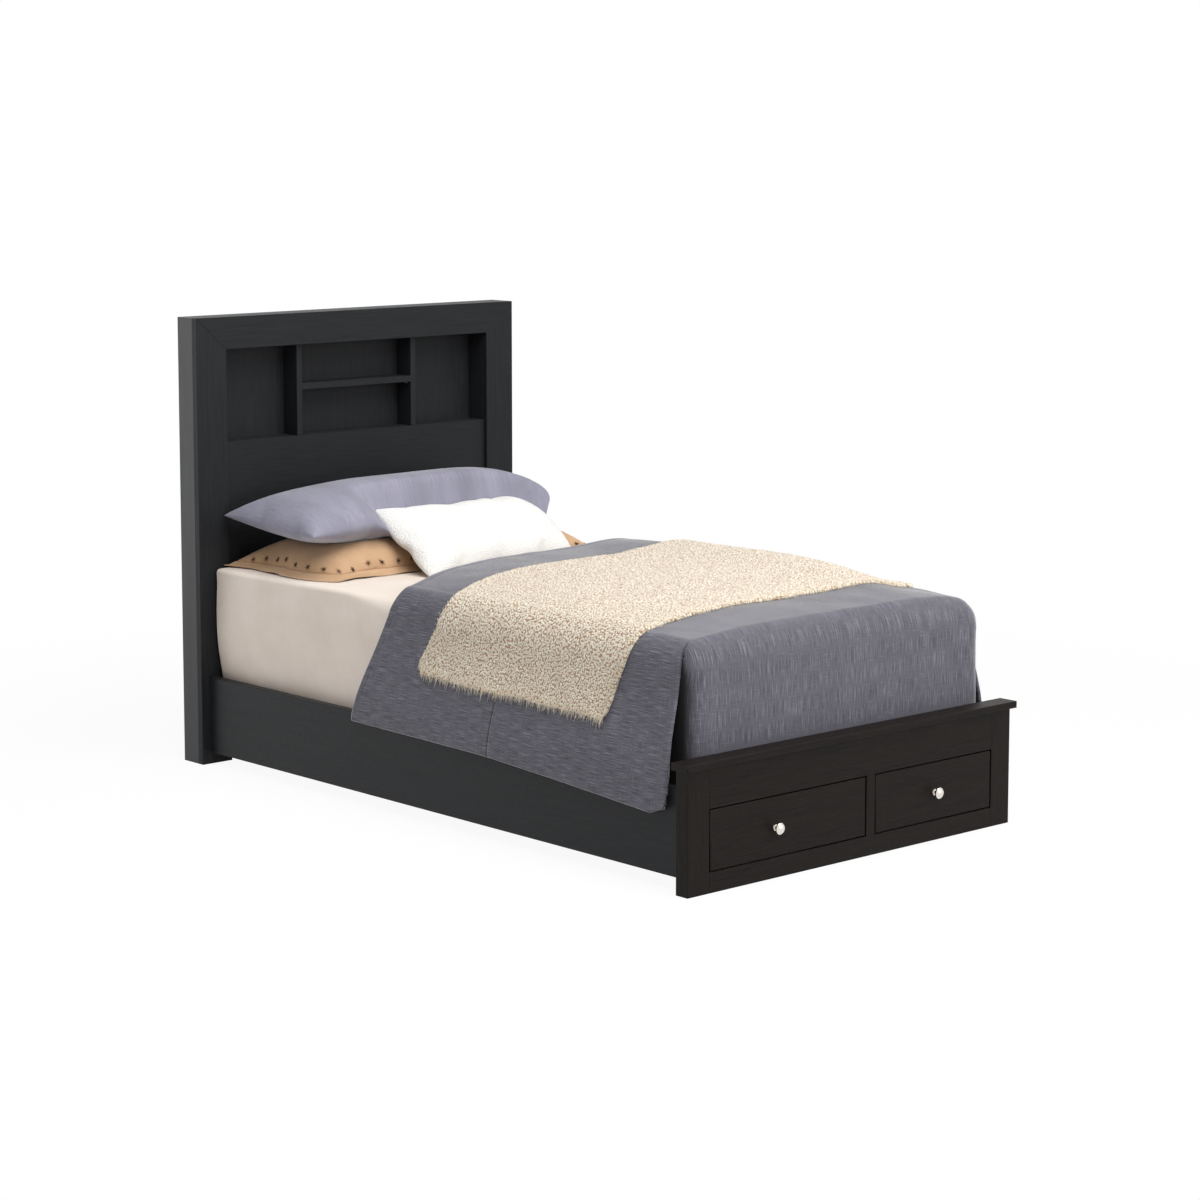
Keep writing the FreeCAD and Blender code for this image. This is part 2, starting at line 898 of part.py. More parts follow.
def through_drop(side, edges):
    """A cutting tool: an outline seen from the side, run across one side drop only."""
    face = Part.Face(Part.Wire(Part.__sortEdges__(edges)))
    reach = rail_outer + rail_inset + rail_inset
    tool = face.extrude(Vector(side * reach, 0, 0))
    keep = on_side(
        side,
        0,
        comforter_inner_half - overrun,
        footboard_front,
        headboard_back,
        0,
        headboard_height,
    )
    return tool.cut(keep)


def corner_tool(side, y, z, radius, way):
    """Rounds the lower corner of a side drop; way points from the corner into the cloth."""
    edge_y = y - way * overrun
    edge_z = z - overrun
    centre_y = y + way * radius
    centre_z = z + radius
    middle = Vector(0, centre_y - way * radius * diagonal_share, centre_z - radius * diagonal_share)
    upper = Vector(0, y, centre_z)
    lower = Vector(0, centre_y, z)
    return through_drop(
        side,
        [
            arc(upper, middle, lower),
            line(lower, Vector(0, centre_y, edge_z)),
            line(Vector(0, centre_y, edge_z), Vector(0, edge_y, edge_z)),
            line(Vector(0, edge_y, edge_z), Vector(0, edge_y, centre_z)),
            line(Vector(0, edge_y, centre_z), upper),
        ],
    )


def outline_edges(points):
    closed = points + points[:1]
    return [line(a, b) for a, b in zip(closed, closed[1:])]


def foot_drop():
    """The comforter's end, which rounds the foot of the mattress and hangs behind the footboard."""
    y_join = footboard_front + comforter_foot_edge
    y_inner = mattress_foot - sheet_growth - soft_gap
    y_round = y_inner + shoulder_radius
    y_outer = y_inner - comforter_drop
    top_z = bedding_floor + comforter_top
    bend = diagonal_share
    inner_bend = Vector(0, y_round - shoulder_radius * bend, shoulder_z + shoulder_radius * bend)
    outer_bend = Vector(
        0,
        y_round - (shoulder_radius + comforter_drop) * bend,
        shoulder_z + (shoulder_radius + comforter_top) * bend,
    )
    high = top_z + comforter_crown
    edges = [
        line(Vector(0, y_join, bedding_floor), Vector(0, y_round, bedding_floor)),
        arc(Vector(0, y_round, bedding_floor), inner_bend, Vector(0, y_inner, shoulder_z)),
        line(Vector(0, y_inner, shoulder_z), Vector(0, y_inner, comforter_foot_hem)),
        line(Vector(0, y_inner, comforter_foot_hem), Vector(0, y_outer, comforter_foot_hem)),
        line(Vector(0, y_outer, comforter_foot_hem), Vector(0, y_outer, shoulder_z)),
        arc(
            Vector(0, y_outer, shoulder_z),
            outer_bend + Vector(0, 0, comforter_crown * bend),
            Vector(0, y_round, high),
        ),
        line(Vector(0, y_round, high), Vector(0, y_join, high)),
        line(Vector(0, y_join, high), Vector(0, y_join, bedding_floor)),
    ]
    half = comforter_inner_half + comforter_drop
    slab = Part.Face(Part.Wire(edges)).extrude(Vector(half + half, 0, 0))
    slab.translate(Vector(-half, 0, 0))
    over, left_end, right_end = draped_edges(
        y_join, comforter_top, comforter_drop, comforter_crown, shoulder_z - overrun, shoulder_z - overrun
    )
    left_foot = Vector(left_end.x, y_join, comforter_foot_hem)
    right_foot = Vector(right_end.x, y_join, comforter_foot_hem)
    below = [line(right_end, right_foot), line(right_foot, left_foot), line(left_foot, left_end)]
    outline = Part.Face(Part.Wire(over + below))
    return slab.common(outline.extrude(Vector(0, y_outer - y_join, 0)))


def head_edge_tools():
    """What is cut off the comforter's head end, so that it falls back at the left."""
    head = footboard_front + comforter_head_edge
    y_left = head - head_hem_fall
    beyond = head + overrun
    x_edge = comforter_inner_half + comforter_drop + overrun
    x_full = head_hem_reach - comforter_inner_half
    low = shoulder_z
    x_middle = (x_full - comforter_inner_half) / 2
    y_middle = (y_left + head) / 2 + head_hem_sag
    bow_start = Vector(-comforter_inner_half, y_left, low)
    bow_end = Vector(x_full, head, low)
    edges = [
        line(Vector(-x_edge, y_left, low), bow_start),
        arc(bow_start, Vector(x_middle, y_middle, low), bow_end),
        line(bow_end, Vector(x_full, beyond, low)),
        line(Vector(x_full, beyond, low), Vector(-x_edge, beyond, low)),
        line(Vector(-x_edge, beyond, low), Vector(-x_edge, y_left, low)),
    ]
    over_top = Part.Face(Part.Wire(edges)).extrude(Vector(0, 0, shoulder_radius + mattress_height))
    side_points = [
        Vector(0, y_left, low),
        Vector(0, y_left + head_hem_slant, comforter_hem - overrun),
        Vector(0, beyond, comforter_hem - overrun),
        Vector(0, beyond, low),
    ]
    return [over_top, through_drop(left, outline_edges(side_points))]


def foot_edge_tool(side):
    """What is cut off a side drop's foot edge, so that it draws back as it falls."""
    y_join = footboard_front + comforter_foot_edge
    points = [
        Vector(0, y_join, shoulder_z),
        Vector(0, y_join + foot_edge_slant, comforter_hem - overrun),
        Vector(0, y_join - overrun, comforter_hem - overrun),
        Vector(0, y_join - overrun, shoulder_z),
    ]
    return through_drop(side, outline_edges(points))


def comforter():
    cloth = draped_cloth(
        comforter_foot_edge,
        comforter_head_edge,
        (0, 0, 0),
        (comforter_top, comforter_drop, comforter_crown),
        comforter_hem,
        comforter_hem,
    )
    cloth = cloth.fuse(foot_drop())
    for tool in head_edge_tools():
        cloth = cloth.cut(tool)
    for side in (left, right):
        cloth = cloth.cut(foot_edge_tool(side))
        corner_y = footboard_front + comforter_foot_edge + foot_edge_slant - comforter_drop / 2
        cloth = cloth.cut(corner_tool(side, corner_y, comforter_hem, foot_corner_radius, 1))
    return cloth


def throw_blanket():
    """The throw lies on the comforter, so its sections grow from the comforter's outer surface."""
    inner = (comforter_top + soft_gap, comforter_drop + soft_gap, comforter_crown)
    outer = (inner[0] + throw_thickness, inner[1] + throw_thickness, comforter_crown)
    cloth = draped_cloth(throw_start, throw_end, inner, outer, throw_left_hem, throw_right_hem)
    y0 = footboard_front + throw_start
    y1 = footboard_front + throw_end
    cloth = cloth.cut(corner_tool(left, y0, throw_left_hem, throw_corner_radius / 2, 1))
    return cloth.cut(corner_tool(left, y1, throw_left_hem, throw_corner_radius, -1))


# Pillows and cushion


def pillow(length, width, crown, belly):
    """A crowned cushion, thin at its seam and drawn in between its corners."""
    sections = []
    for along, across, height in pillow_shares:
        x = along * length / 2
        half = across * width / 2
        top = pillow_seam / 2 + (crown - pillow_seam / 2) * height
        bottom = pillow_seam / 2 + (belly - pillow_seam / 2) * height
        front = Vector(x, -half, 0)
        back = Vector(x, half, 0)
        over = arc(front, Vector(x, 0, top), back)
        under = arc(back, Vector(x, 0, -bottom), front)
        sections.append(Part.Wire([over, under]))
    return Part.makeLoft(sections, True, False)


def laid(shape, place, yaw, tilt):
    """Turns a pillow about its own middle and lays it before the headboard, over the sheet."""
    shape.rotate(Vector(0, 0, 0), Vector(1, 0, 0), tilt)
    shape.rotate(Vector(0, 0, 0), Vector(0, 0, 1), yaw)
    shape.translate(place + Vector(0, headboard_front, bedding_floor))
    return shape


def lower_pillow(growth):
    shape = pillow(
        lower_pillow_length + growth + growth,
        lower_pillow_width + growth + growth,
        lower_pillow_crown + growth,
        lower_pillow_belly + growth,
    )
    place = Vector(lower_pillow_offset, -lower_pillow_setback, lower_pillow_height)
    return laid(shape, place, lower_pillow_yaw, 0)


def upper_pillow(growth):
    shape = pillow(
        upper_pillow_length + growth + growth,
        upper_pillow_width + growth + growth,
        upper_pillow_crown + growth,
        upper_pillow_belly + growth,
    )
    place = Vector(upper_pillow_offset, -upper_pillow_setback, upper_pillow_height)
    return laid(shape, place, upper_pillow_yaw, upper_pillow_tilt)


def cushion(growth):
    shape = pillow(
        cushion_length + growth + growth,
        cushion_width + growth + growth,
        cushion_crown + growth,
        cushion_belly + growth,
    )
    place = Vector(cushion_offset, -cushion_setback, cushion_height)
    return laid(shape, place, cushion_yaw, cushion_tilt)


def under_sheet():
    """The space that no pillow may reach into: the mattress and its sheet."""
    return box(-half_width, half_width, footboard_front, headboard_back, 0, bedding_floor)


def build_soft():
    save("mattress", mattress_block(0, slat_top))
    inner = mattress_block(soft_gap, slat_top - overrun)
    save("fitted_sheet", mattress_block(sheet_growth, slat_top).cut(inner))
    save("comforter", comforter())
    save("throw_blanket", throw_blanket())
    pressed = upper_pillow(0).cut(cushion(soft_gap))
    save("grey_pillow", pressed)
    lowest = lower_pillow(0).cut(upper_pillow(soft_gap)).cut(cushion(soft_gap)).cut(under_sheet())
    save("tan_pillow", lowest)
    save("white_cushion", cushion(0).cut(under_sheet()))


os.makedirs("parts", exist_ok=True)
build_headboard()
build_footboard()
build_base()
build_drawers()
build_soft()
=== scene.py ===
"""The looks of a storage bed with its bedding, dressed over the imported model.

Lengths are in metres. X runs across the bed, Y from the foot to the head and Z up.
Places along the bed are counted from the footboard's front face.
"""

import json
import math

import bmesh
import bpy
import numpy as np
from mathutils import Matrix, Vector
from mathutils.bvhtree import BVHTree

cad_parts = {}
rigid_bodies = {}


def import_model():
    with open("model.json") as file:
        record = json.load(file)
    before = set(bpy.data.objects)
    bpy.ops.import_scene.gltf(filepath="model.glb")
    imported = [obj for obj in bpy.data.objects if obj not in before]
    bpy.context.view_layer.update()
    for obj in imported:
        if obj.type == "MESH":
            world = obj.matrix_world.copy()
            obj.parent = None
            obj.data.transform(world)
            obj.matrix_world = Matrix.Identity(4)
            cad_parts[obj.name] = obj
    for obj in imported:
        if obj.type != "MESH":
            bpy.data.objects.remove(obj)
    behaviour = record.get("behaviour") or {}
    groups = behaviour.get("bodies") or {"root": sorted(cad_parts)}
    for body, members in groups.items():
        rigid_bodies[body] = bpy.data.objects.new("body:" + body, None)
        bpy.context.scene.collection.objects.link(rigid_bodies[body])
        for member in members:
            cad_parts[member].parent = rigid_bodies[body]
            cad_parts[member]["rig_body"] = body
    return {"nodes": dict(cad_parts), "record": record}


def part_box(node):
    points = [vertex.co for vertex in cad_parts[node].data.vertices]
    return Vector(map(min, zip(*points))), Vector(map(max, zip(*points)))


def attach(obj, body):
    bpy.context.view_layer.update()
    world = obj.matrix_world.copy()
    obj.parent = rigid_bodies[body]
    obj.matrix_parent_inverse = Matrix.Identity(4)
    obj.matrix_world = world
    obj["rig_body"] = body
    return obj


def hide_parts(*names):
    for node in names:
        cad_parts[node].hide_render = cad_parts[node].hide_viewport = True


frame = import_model()
nodes = frame["nodes"]
scene = bpy.context.scene
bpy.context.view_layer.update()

MM = 0.001
quarter_turn = math.pi / 2

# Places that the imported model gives
foot_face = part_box("footboard_stile_left")[0].y
head_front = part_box("headboard_stile_left")[0].y
rail_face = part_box("side_rail_right")[1].x
rail_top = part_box("side_rail_right")[1].z
sheet_low, sheet_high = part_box("fitted_sheet")
mattress_low, mattress_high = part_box("mattress")
sheet_top = sheet_high.z
sheet_half = sheet_high.x

# Camera: the photograph's place, turn and lens
camera_across = -5.3594
camera_reach = -5.0022  # along the bed
camera_height = 1.8263
camera_yaw = 42.073
camera_pitch = 6.9635
camera_lens = 91.57
camera_sensor = 36
camera_shift = -0.1

# Light: each lamp's place, the point that it faces, its width, height and power
world_strength = 0.36
bed_middle = (0, 0, 0.4)
lamps = {
    "overhead_softbox": ((-0.4, -1.2, 3.6), bed_middle, 3.0, 3.0, 154),
    "front_softbox": ((0.8, -5.0, 2.0), bed_middle, 3.0, 2.4, 104),
    "side_softbox": ((-2.4, 3.3, 0.9), (-0.57, 1.0, 0.6), 1.6, 1.8, 19),
}

# The floor turns from pale with a faint shadow to plain white, between two distances from the bed's middle
floor_half = 40
floor_white_from_to = (1.6, 3.2)
floor_white_shares = (0.93, 1.0)

# Boards
board_ease = 0.9 * MM
sharp_angle = 0.6  # edges that turn by more, in radians, are eased
short_edge = 12 * MM  # shorter ones stay as they are

# Mattress and sheet
mattress_corners = (60 * MM, 7 * MM)  # radius at the foot and at the head
mattress_edges = (38 * MM, 10 * MM)
edge_change = (1.2, 1.4)  # along the bed, from the foot's edge radius to the head's
mattress_cell = 30 * MM
sheet_cell = 14 * MM
sheet_cover = 1.9 * MM
sheet_thin = 0.3 * MM  # left between the sheet and the mattress
sheet_bulge = 23 * MM  # how far the sides stand out at the top, near the head
bulge_start = (1.3, 1.85)  # along the bed
bulge_depths = (0.38, 0.16)  # down from the top, from no bulge to the full one
bulge_across = (0.3, 0.47)
sheet_folds = 3.2 * MM  # small folds down its sides
sheet_fold_start = (1.22, 1.36)  # along the bed
sheet_fold_depths = (0.01, 0.12)
sheet_waves = 1.2 * MM  # on its top
sheet_wave_depths = (0.03, 0)
cloth_threads = 1100  # to a metre

# Comforter
bedding_gap = 0.4 * MM
bedding_floor = sheet_top + bedding_gap
shoulder_inner = 40.3 * MM
flat_half = sheet_half + bedding_gap - shoulder_inner
shoulder_z = bedding_floor - shoulder_inner
quilt_rise = 36 * MM
quilt_side = 12 * MM
quilt_crown = 35 * MM
quilt_ridge = 27 * MM  # further rise along its right
ridge_place = (0.38, 0.71)
ridge_reach = (0.17, 0.56)
crown_foot_share = 0.4
crown_reach = 0.52  # along the bed, from the foot's rounding to the full crown
crown_powers = (3, 9)  # how square the crown is across the bed: on its left, and on its right near the head
crown_square_start = (0.2, 0.6)  # along the bed, from the left's power to the right's
corner_flare = 17 * MM  # how far the comforter stands out at the right of its foot
flare_across = (0.42, 0.5)
flare_end = (0.16, 0.6)  # along the bed
corner_lift = 9 * MM  # how far its edge rises beside that corner, and droops at it
lift_heights = (0.54, 0.575)
lift_end_across = (0.5, 0.53)
droop_end = (0.08, 0.26)  # along the bed
quilt_rail_gap = 4 * MM
foot_round = mattress_low.y - 2.3 * MM + shoulder_inner
quilt_foot_hem = 262 * MM
quilt_mean_hem = 0.2
quilt_straight = 1.0  # along the bed, where the rows start to follow the head edge
quilt_cell = 9 * MM
quilt_roundness = 8 * MM
hem_places = (0.12, 0.3, 0.5, 0.74, 1.0, 1.27)  # along the bed, from foot to head
hem_heights = (0.173, 0.186, 0.199, 0.213, 0.218, 0.222)
head_edge_across = (-0.85, -0.7, -0.59, -0.53, -0.47, -0.38, -0.215, 0, 0.457, 0.55, 0.85)
head_edge_places = (1.3, 1.252, 1.214, 1.186, 1.162, 1.192, 1.214, 1.23, 1.25, 1.25, 1.27)
shoulder_wide = shoulder_inner + quilt_side
shoulder_high = shoulder_inner + quilt_rise
shoulder_arc = quarter_turn * math.sqrt((shoulder_wide ** 2 + shoulder_high ** 2) / 2)
shoulder_steps = 12
stitch_line = 30 * MM

# The comforter's slit at each foot corner, whose turns are counted from the side
slit_turn = math.radians(10.8)
slit_start_share = 0.45  # of that turn, at the slit's tip
slit_tip = 0.3 * shoulder_arc
slit_tip_z = shoulder_z + shoulder_high * math.cos(math.radians(22.5))
slit_low_z = 0.288  # where the slit reaches its full turn
slit_foot_z = 0.29  # to which the slit's levels are counted
slit_gap = math.radians(4)
slit_gap_z = 0.47  # where the gap behind the flap's edge reaches its full turn
flap_corner = 16 * MM  # how far the hem rises toward the side drops' foot corners
flap_corner_reach = 45 * MM
flap_low_z = 0.285  # the height of its lower corner
flap_draw = 0.2  # how much less its corner leans out
flap_draw_z = (0.25, 0.3)
tuck_turn = math.radians(45)  # how far the foot's drop runs on behind the flap
tuck_length = 35 * MM
opening_length = 110 * MM
panel_sag = 36 * MM  # how far the foot's hem hangs lower near the slit
sag_turns = (math.radians(20), math.radians(40))
hollow_turns = (math.radians(12), math.radians(60))  # between them the slit's hollow ends, and its painted shade fades out with it
hollow_first_turn = math.radians(3)
hollow_depth = 11 * MM
hollow_lip = 5.8 * MM  # its depth behind the flap
hollow_lip_turn = math.radians(9)
flap_shares = 1 - np.array([1, 0.8, 0.62, 0.45, 0.3, 0.18, 0.09, 0.03, 0])
panel_shares = np.array(
    [0, 0.012, 0.035, 0.07, 0.11, 0.16, 0.22, 0.29, 0.37, 0.46, 0.56, 0.67, 0.78, 0.89, 1],
)

# The comforter's relief: loft on top, folds down its sides and foot, creases below the foot's edge, stitching
loft_heights = (2.2 * MM, 2.6 * MM, 1.1 * MM)  # its mean, broad hills and small hills
loft_end = 0.06  # down a drop
fold_heights = (3.0 * MM, 1.6 * MM)  # at the sides and at the foot
fold_start = (0.03, 0.2)  # down a drop
crease_height = 0.75 * MM
crease_start = (0.015, 0.045)
crease_end = (0.07, 0.15)
stitch_depth = 1.3 * MM
stitch_half = 2.2 * MM
stitch_pitch = 6 * MM

# The seam down the comforter's left drop
seam_place = 0.7315
seam_half = 2.6 * MM
seam_lean = 0.09
seam_middle = 0.33  # down the drop, where it lies at its place
seam_top = (0.1, 0.16)
seam_depth = 3.5 * MM
seam_step = 2.2 * MM  # how much lower the cloth lies past the seam
seam_step_start = (-1 * MM, 2 * MM)
seam_step_end = (4 * MM, 40 * MM)

# Throw blanket
throw_cell = 3.6 * MM
under_step = 4  # cells of its face to one of its underside
throw_thickness = 12 * MM
throw_edge = 9 * MM  # over which its edge is rounded
throw_pile = 4.5 * MM
throw_lift = 0.8 * MM  # over the comforter
throw_hem_wave = 3 * MM
throw_edge_wave = 2.5 * MM
throw_ruffle = 1.2 * MM
loop_pitch = 7 * MM
loop_scatter = 1.5 * MM
fibre_density = 1500  # loose fibres to a metre of edge
fibre_lengths = (9 * MM, 21 * MM)
fibre_radius = 0.55 * MM
throw_longest = 0.85
throw_shortest = 0.8
throw_left_hems = (0.372, 0.382)  # heights of its left hem, at the foot and head ends
throw_right_hem = 0.45
throw_corners = (18 * MM, 46 * MM)
throw_across = (-0.72, -0.65, -0.59, -0.53, -0.48, -0.38, -0.2, 0.1, 0.4, 0.62)
throw_foot_places = (0.328, 0.304, 0.288, 0.266, 0.242, 0.252, 0.256, 0.25, 0.262, 0.29)
throw_head_places = (1.04, 1.032, 1.004, 0.966, 0.952, 0.984, 1.002, 1.002, 1.004, 1.02)

# Pillows. A form is a length, width, crown and belly, then how much each corner is rounded: back left, back
# right, front left and front right. A place is an offset across the bed, the middle's distance from the
# headboard and height over the bedding, then the yaw, tilt and roll in degrees
tan_form = (0.95, 0.42, 104 * MM, 16 * MM, (0, 0.15, 0.55, 0.05))
tan_place = (5 * MM, -240 * MM, 17 * MM, -1.5, 0, 0)
grey_form = (0.962, 0.415, 99 * MM, 64 * MM, (0, 0.68, 0.15, 0.85))
grey_place = (-24 * MM, -232 * MM, 148 * MM, -2, 3, -1.2)
cushion_form = (0.57, 0.325, 66 * MM, 46 * MM, (0.35, 0.72, 0.3, 0.3))
cushion_place = (80 * MM, -428 * MM, 81 * MM, 0, 32.5, 0)
tan_cell = 11 * MM
grey_cell = 12 * MM
cushion_cell = 8 * MM
cover_pressure = 9
cover_frames = 26
cover_start_share = 0.5  # of the crown and belly, from which a cover is blown up
cover_growth = (1.05, 1.12)  # its flat length and width, as shares of the filled ones
cover_quilting = 0.35
cover_smoothing = 5
cover_softness = 8 * MM
pillow_gap = 1 * MM
pillow_lift = 0.3 * MM
pillow_floor_softness = 3 * MM
dent_inset = 12 * MM
dent_reach = 160 * MM
dent_rise = 150 * MM
dent_softness = 45 * MM
flange_width = 30 * MM
flange_thickness = 2.2 * MM
flange_back_share = 0.5
flange_shares = (-0.12, 0.1, 0.3, 0.5, 0.75, 0.96, 1.0)
flange_wave = 3.5 * MM
flange_lift = 1.6 * MM
flange_head_gap = 2 * MM
star_size = 12.5 * MM
star_spacing = 52 * MM
star_inset = 5 * MM
thread_radius = 1.1 * MM
thread_lift = 0.5 * MM
thread_crossing = 0.3 * MM  # how much higher every second stitch of a star lies
no_hit = 9.0  # a distance beyond every piece


def along(distance):
    """The Y of a place that is counted from the footboard's front face."""
    return foot_face + distance


# Small helpers


def colour(red, green, blue):
    """A linear colour from the 0 to 255 numbers of a picture."""
    def linear(value):
        share = value / 255
        return share / 12.92 if share <= 0.04045 else ((share + 0.055) / 1.055) ** 2.4

    return (linear(red), linear(green), linear(blue), 1)


def blend_in(start, end, value):
    """Goes smoothly from 0 at the start to 1 at the end."""
    share = np.clip((np.asarray(value, float) - start) / (end - start), 0, 1)
    return share * share * (3 - 2 * share)


def blend_along(places, y):
    """Goes smoothly from 0 to 1 between two places along the bed."""
    return blend_in(along(places[0]), along(places[1]), y)


def rounded_in(share):
    """Goes from 0 to 1 as a quarter circle does, upright at its start."""
    return np.sqrt(np.clip(1 - (1 - np.clip(share, 0, 1)) ** 2, 0, 1))


def hills(x, y, seed):
    """Smooth random hills whose cells are one unit wide, from -1 to 1."""
    size = 64
    table = np.random.RandomState(seed).uniform(-1, 1, (size, size))
    x, y = np.broadcast_arrays(np.asarray(x, float), np.asarray(y, float))
    x0, y0 = np.floor(x).astype(int), np.floor(y).astype(int)
    fx, fy = blend_in(0, 1, x - x0), blend_in(0, 1, y - y0)

    def at(i, j):
        return table[(x0 + i) % size, (y0 + j) % size]

    near = at(0, 0) * (1 - fx) + at(1, 0) * fx
    far = at(0, 1) * (1 - fx) + at(1, 1) * fx
    return near * (1 - fy) + far * fy


def unit(vector):
    """A vector's direction."""
    return vector / np.linalg.norm(vector)


def spaced(start, end, step, extra=()):
    """Even places from start to end, about a step apart, with some extra ones between them."""
    count = max(int(math.ceil(abs(end - start) / step)), 1)
    places = list(np.linspace(start, end, count + 1))
    inside = [p for p in extra if min(start, end) < p < max(start, end)]
    return np.array(sorted(places + inside, reverse=bool(end < start)))


def hemmed(length, step):
    """Places from 0 to a length, close together near both ends and at the stitching beside the hem."""
    close = [1.2 * MM, 3.5 * MM, 7 * MM, 12 * MM]
    stitches = [length - stitch_line + value * MM for value in (-6, -3, -1.5, 0, 1.5, 3, 6)]
    return spaced(0, length, step, close + [length - value for value in close] + stitches)


def smooth_line(places, values, fine, width):
    """Values between some places, on a fine row of places, averaged over that many of its places."""
    line = np.interp(fine, places, values)
    return np.convolve(np.pad(line, width // 2, mode="edge"), np.ones(width) / width, mode="valid")


def run_lengths(points):
    """How far each point of a loop is from its first one, round the loop, and the whole length."""
    steps = np.linalg.norm(np.diff(points, axis=0, append=points[:1]), axis=1)
    return np.concatenate([[0], np.cumsum(steps)])


def link(name, mesh, materials, smooth=True):
    """Puts a mesh into the scene as an object with its materials."""
    thing = bpy.data.objects.new(name, mesh)
    scene.collection.objects.link(thing)
    for material in materials:
        mesh.materials.append(material)
    if smooth:
        mesh.polygons.foreach_set("use_smooth", [True] * len(mesh.polygons))
    mesh.update()
    return thing


def finished(thing, body, replaced=()):
    """Puts a piece on its body and hides the CAD nodes it stands for."""
    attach(thing, body)
    if replaced:
        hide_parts(*replaced)
    return thing


def faces_of(rows, columns, first=0, wrap=False):
    """The quads of a grid of points that is stored row by row."""
    across = columns if wrap else columns - 1
    r, c = np.meshgrid(np.arange(rows - 1), np.arange(across), indexing="ij")
    a = first + r * columns + c
    b = first + r * columns + (c + 1) % columns
    return np.stack([a, b, b + columns, a + columns], -1).reshape(-1, 4)


def shifted(faces, first):
    """Faces whose point numbers start at another number."""
    return [[value + first for value in face] for face in faces]


def mesh_from(name, points, faces, flat=None):
    """A mesh from arrays, with the cloth's flat coordinates as its UV map where they are given."""
    mesh = bpy.data.meshes.new(name)
    mesh.from_pydata(np.asarray(points).tolist(), [], [list(map(int, f)) for f in faces])
    if flat is not None:
        layer = mesh.uv_layers.new(name="flat")
        corners = np.empty(len(mesh.loops), int)
        mesh.loops.foreach_get("vertex_index", corners)
        layer.data.foreach_set("uv", np.asarray(flat, float)[corners].ravel())
    return mesh


def tree_of(mesh):
    """A search tree over a mesh's faces."""
    corners = [vertex.co.copy() for vertex in mesh.vertices]
    return BVHTree.FromPolygons(corners, [tuple(polygon.vertices) for polygon in mesh.polygons])


# Shader nodes


def connect(tree, socket, value):
    """Links a node's output to a socket, or sets the socket to a plain value."""
    if isinstance(value, bpy.types.NodeSocket):
        tree.links.new(value, socket)
    else:
        socket.default_value = value


def node_of(tree, kind, *values, **named):
    """A shader node whose first sockets, and some named ones, are set or linked."""
    made = tree.nodes.new(kind)
    for key, value in [*enumerate(values), *named.items()]:
        connect(tree, made.inputs[key], value)
    return made


def calculated(tree, kind, first, second):
    """A sum, product or the like of two values."""
    made = node_of(tree, "ShaderNodeMath", first, second)
    made.operation = kind
    return made.outputs[0]


def remapped(tree, value, low, high, to_low=0.0, to_high=1.0):
    """A value's range from low to high, taken to another one and kept inside it."""
    return node_of(tree, "ShaderNodeMapRange", value, low, high, to_low, to_high).outputs[0]


def mixed_colour(tree, share, first, second):
    """A colour between two others."""
    made = tree.nodes.new("ShaderNodeMix")
    made.data_type = "RGBA"
    for number, value in ((0, share), (6, first), (7, second)):
        connect(tree, made.inputs[number], value)
    return made.outputs[2]


def tinted(tree, body, *layers):
    """A colour under layers of tint, each of which reaches its share as its noise goes from low to high."""
    for noise, low, high, share, tint in layers:
        body = mixed_colour(tree, remapped(tree, noise, low, high, 0, share), body, tint)
    return body


def stretched_noise(tree, source, scale, detail=3.0, roughness=0.55):
    """Noise whose cells are stretched differently along each axis."""
    place = node_of(tree, "ShaderNodeMapping", Vector=source, Scale=scale).outputs[0]
    noise = node_of(tree, "ShaderNodeTexNoise", Vector=place, Scale=1.0, Detail=detail, Roughness=roughness)
    return noise.outputs["Fac"]


def object_place(tree):
    """The place on the piece, in metres."""
    return tree.nodes.new("ShaderNodeTexCoord").outputs["Object"]


def flat_place(tree):
    """The place on the cloth laid flat, in metres."""
    flat = tree.nodes.new("ShaderNodeUVMap")
    flat.uv_map = "flat"
    return flat.outputs[0]


def mixed_end(tree, output, share, first, second):
    """Ends a tree with a mix of two shaders."""
    mixed = node_of(tree, "ShaderNodeMixShader", share, first.outputs[0], second.outputs[0])
    node_of(tree, output, mixed.outputs[0])


def seen_directly(tree):
    """1 for rays from the camera, from a mirror and through glass, else 0."""
    path = tree.nodes.new("ShaderNodeLightPath").outputs
    first = calculated(tree, "MAXIMUM", path["Is Camera Ray"], path["Is Glossy Ray"])
    return calculated(tree, "MAXIMUM", first, path["Is Transmission Ray"])


# Camera, light and floor


def make_camera():
    data = bpy.data.cameras.new("camera")
    data.lens = camera_lens
    data.sensor_width = camera_sensor
    data.shift_y = camera_shift
    camera = bpy.data.objects.new("camera", data)
    camera.location = (camera_across, along(camera_reach), camera_height)
    camera.rotation_euler = (math.radians(90 - camera_pitch), 0, math.radians(-camera_yaw))
    scene.collection.objects.link(camera)
    scene.camera = camera


def area_light(name, place, target, width, height, power):
    data = bpy.data.lights.new(name, "AREA")
    data.shape = "RECTANGLE"
    data.size = width
    data.size_y = height
    data.energy = power
    light = bpy.data.objects.new(name, data)
    light.location = place
    light.rotation_euler = (Vector(target) - Vector(place)).to_track_quat("-Z", "Y").to_euler()
    scene.collection.objects.link(light)


def make_light():
    world = bpy.data.worlds.new("studio")
    world.use_nodes = True
    tree = world.node_tree
    tree.nodes.clear()
    soft = node_of(tree, "ShaderNodeBackground", Color=(1, 1, 1, 1), Strength=world_strength)
    plain = node_of(tree, "ShaderNodeBackground", Color=(1, 1, 1, 1), Strength=1.0)
    mixed_end(tree, "ShaderNodeOutputWorld", seen_directly(tree), soft, plain)
    scene.world = world
    for name, lamp in lamps.items():
        area_light(name, *lamp)


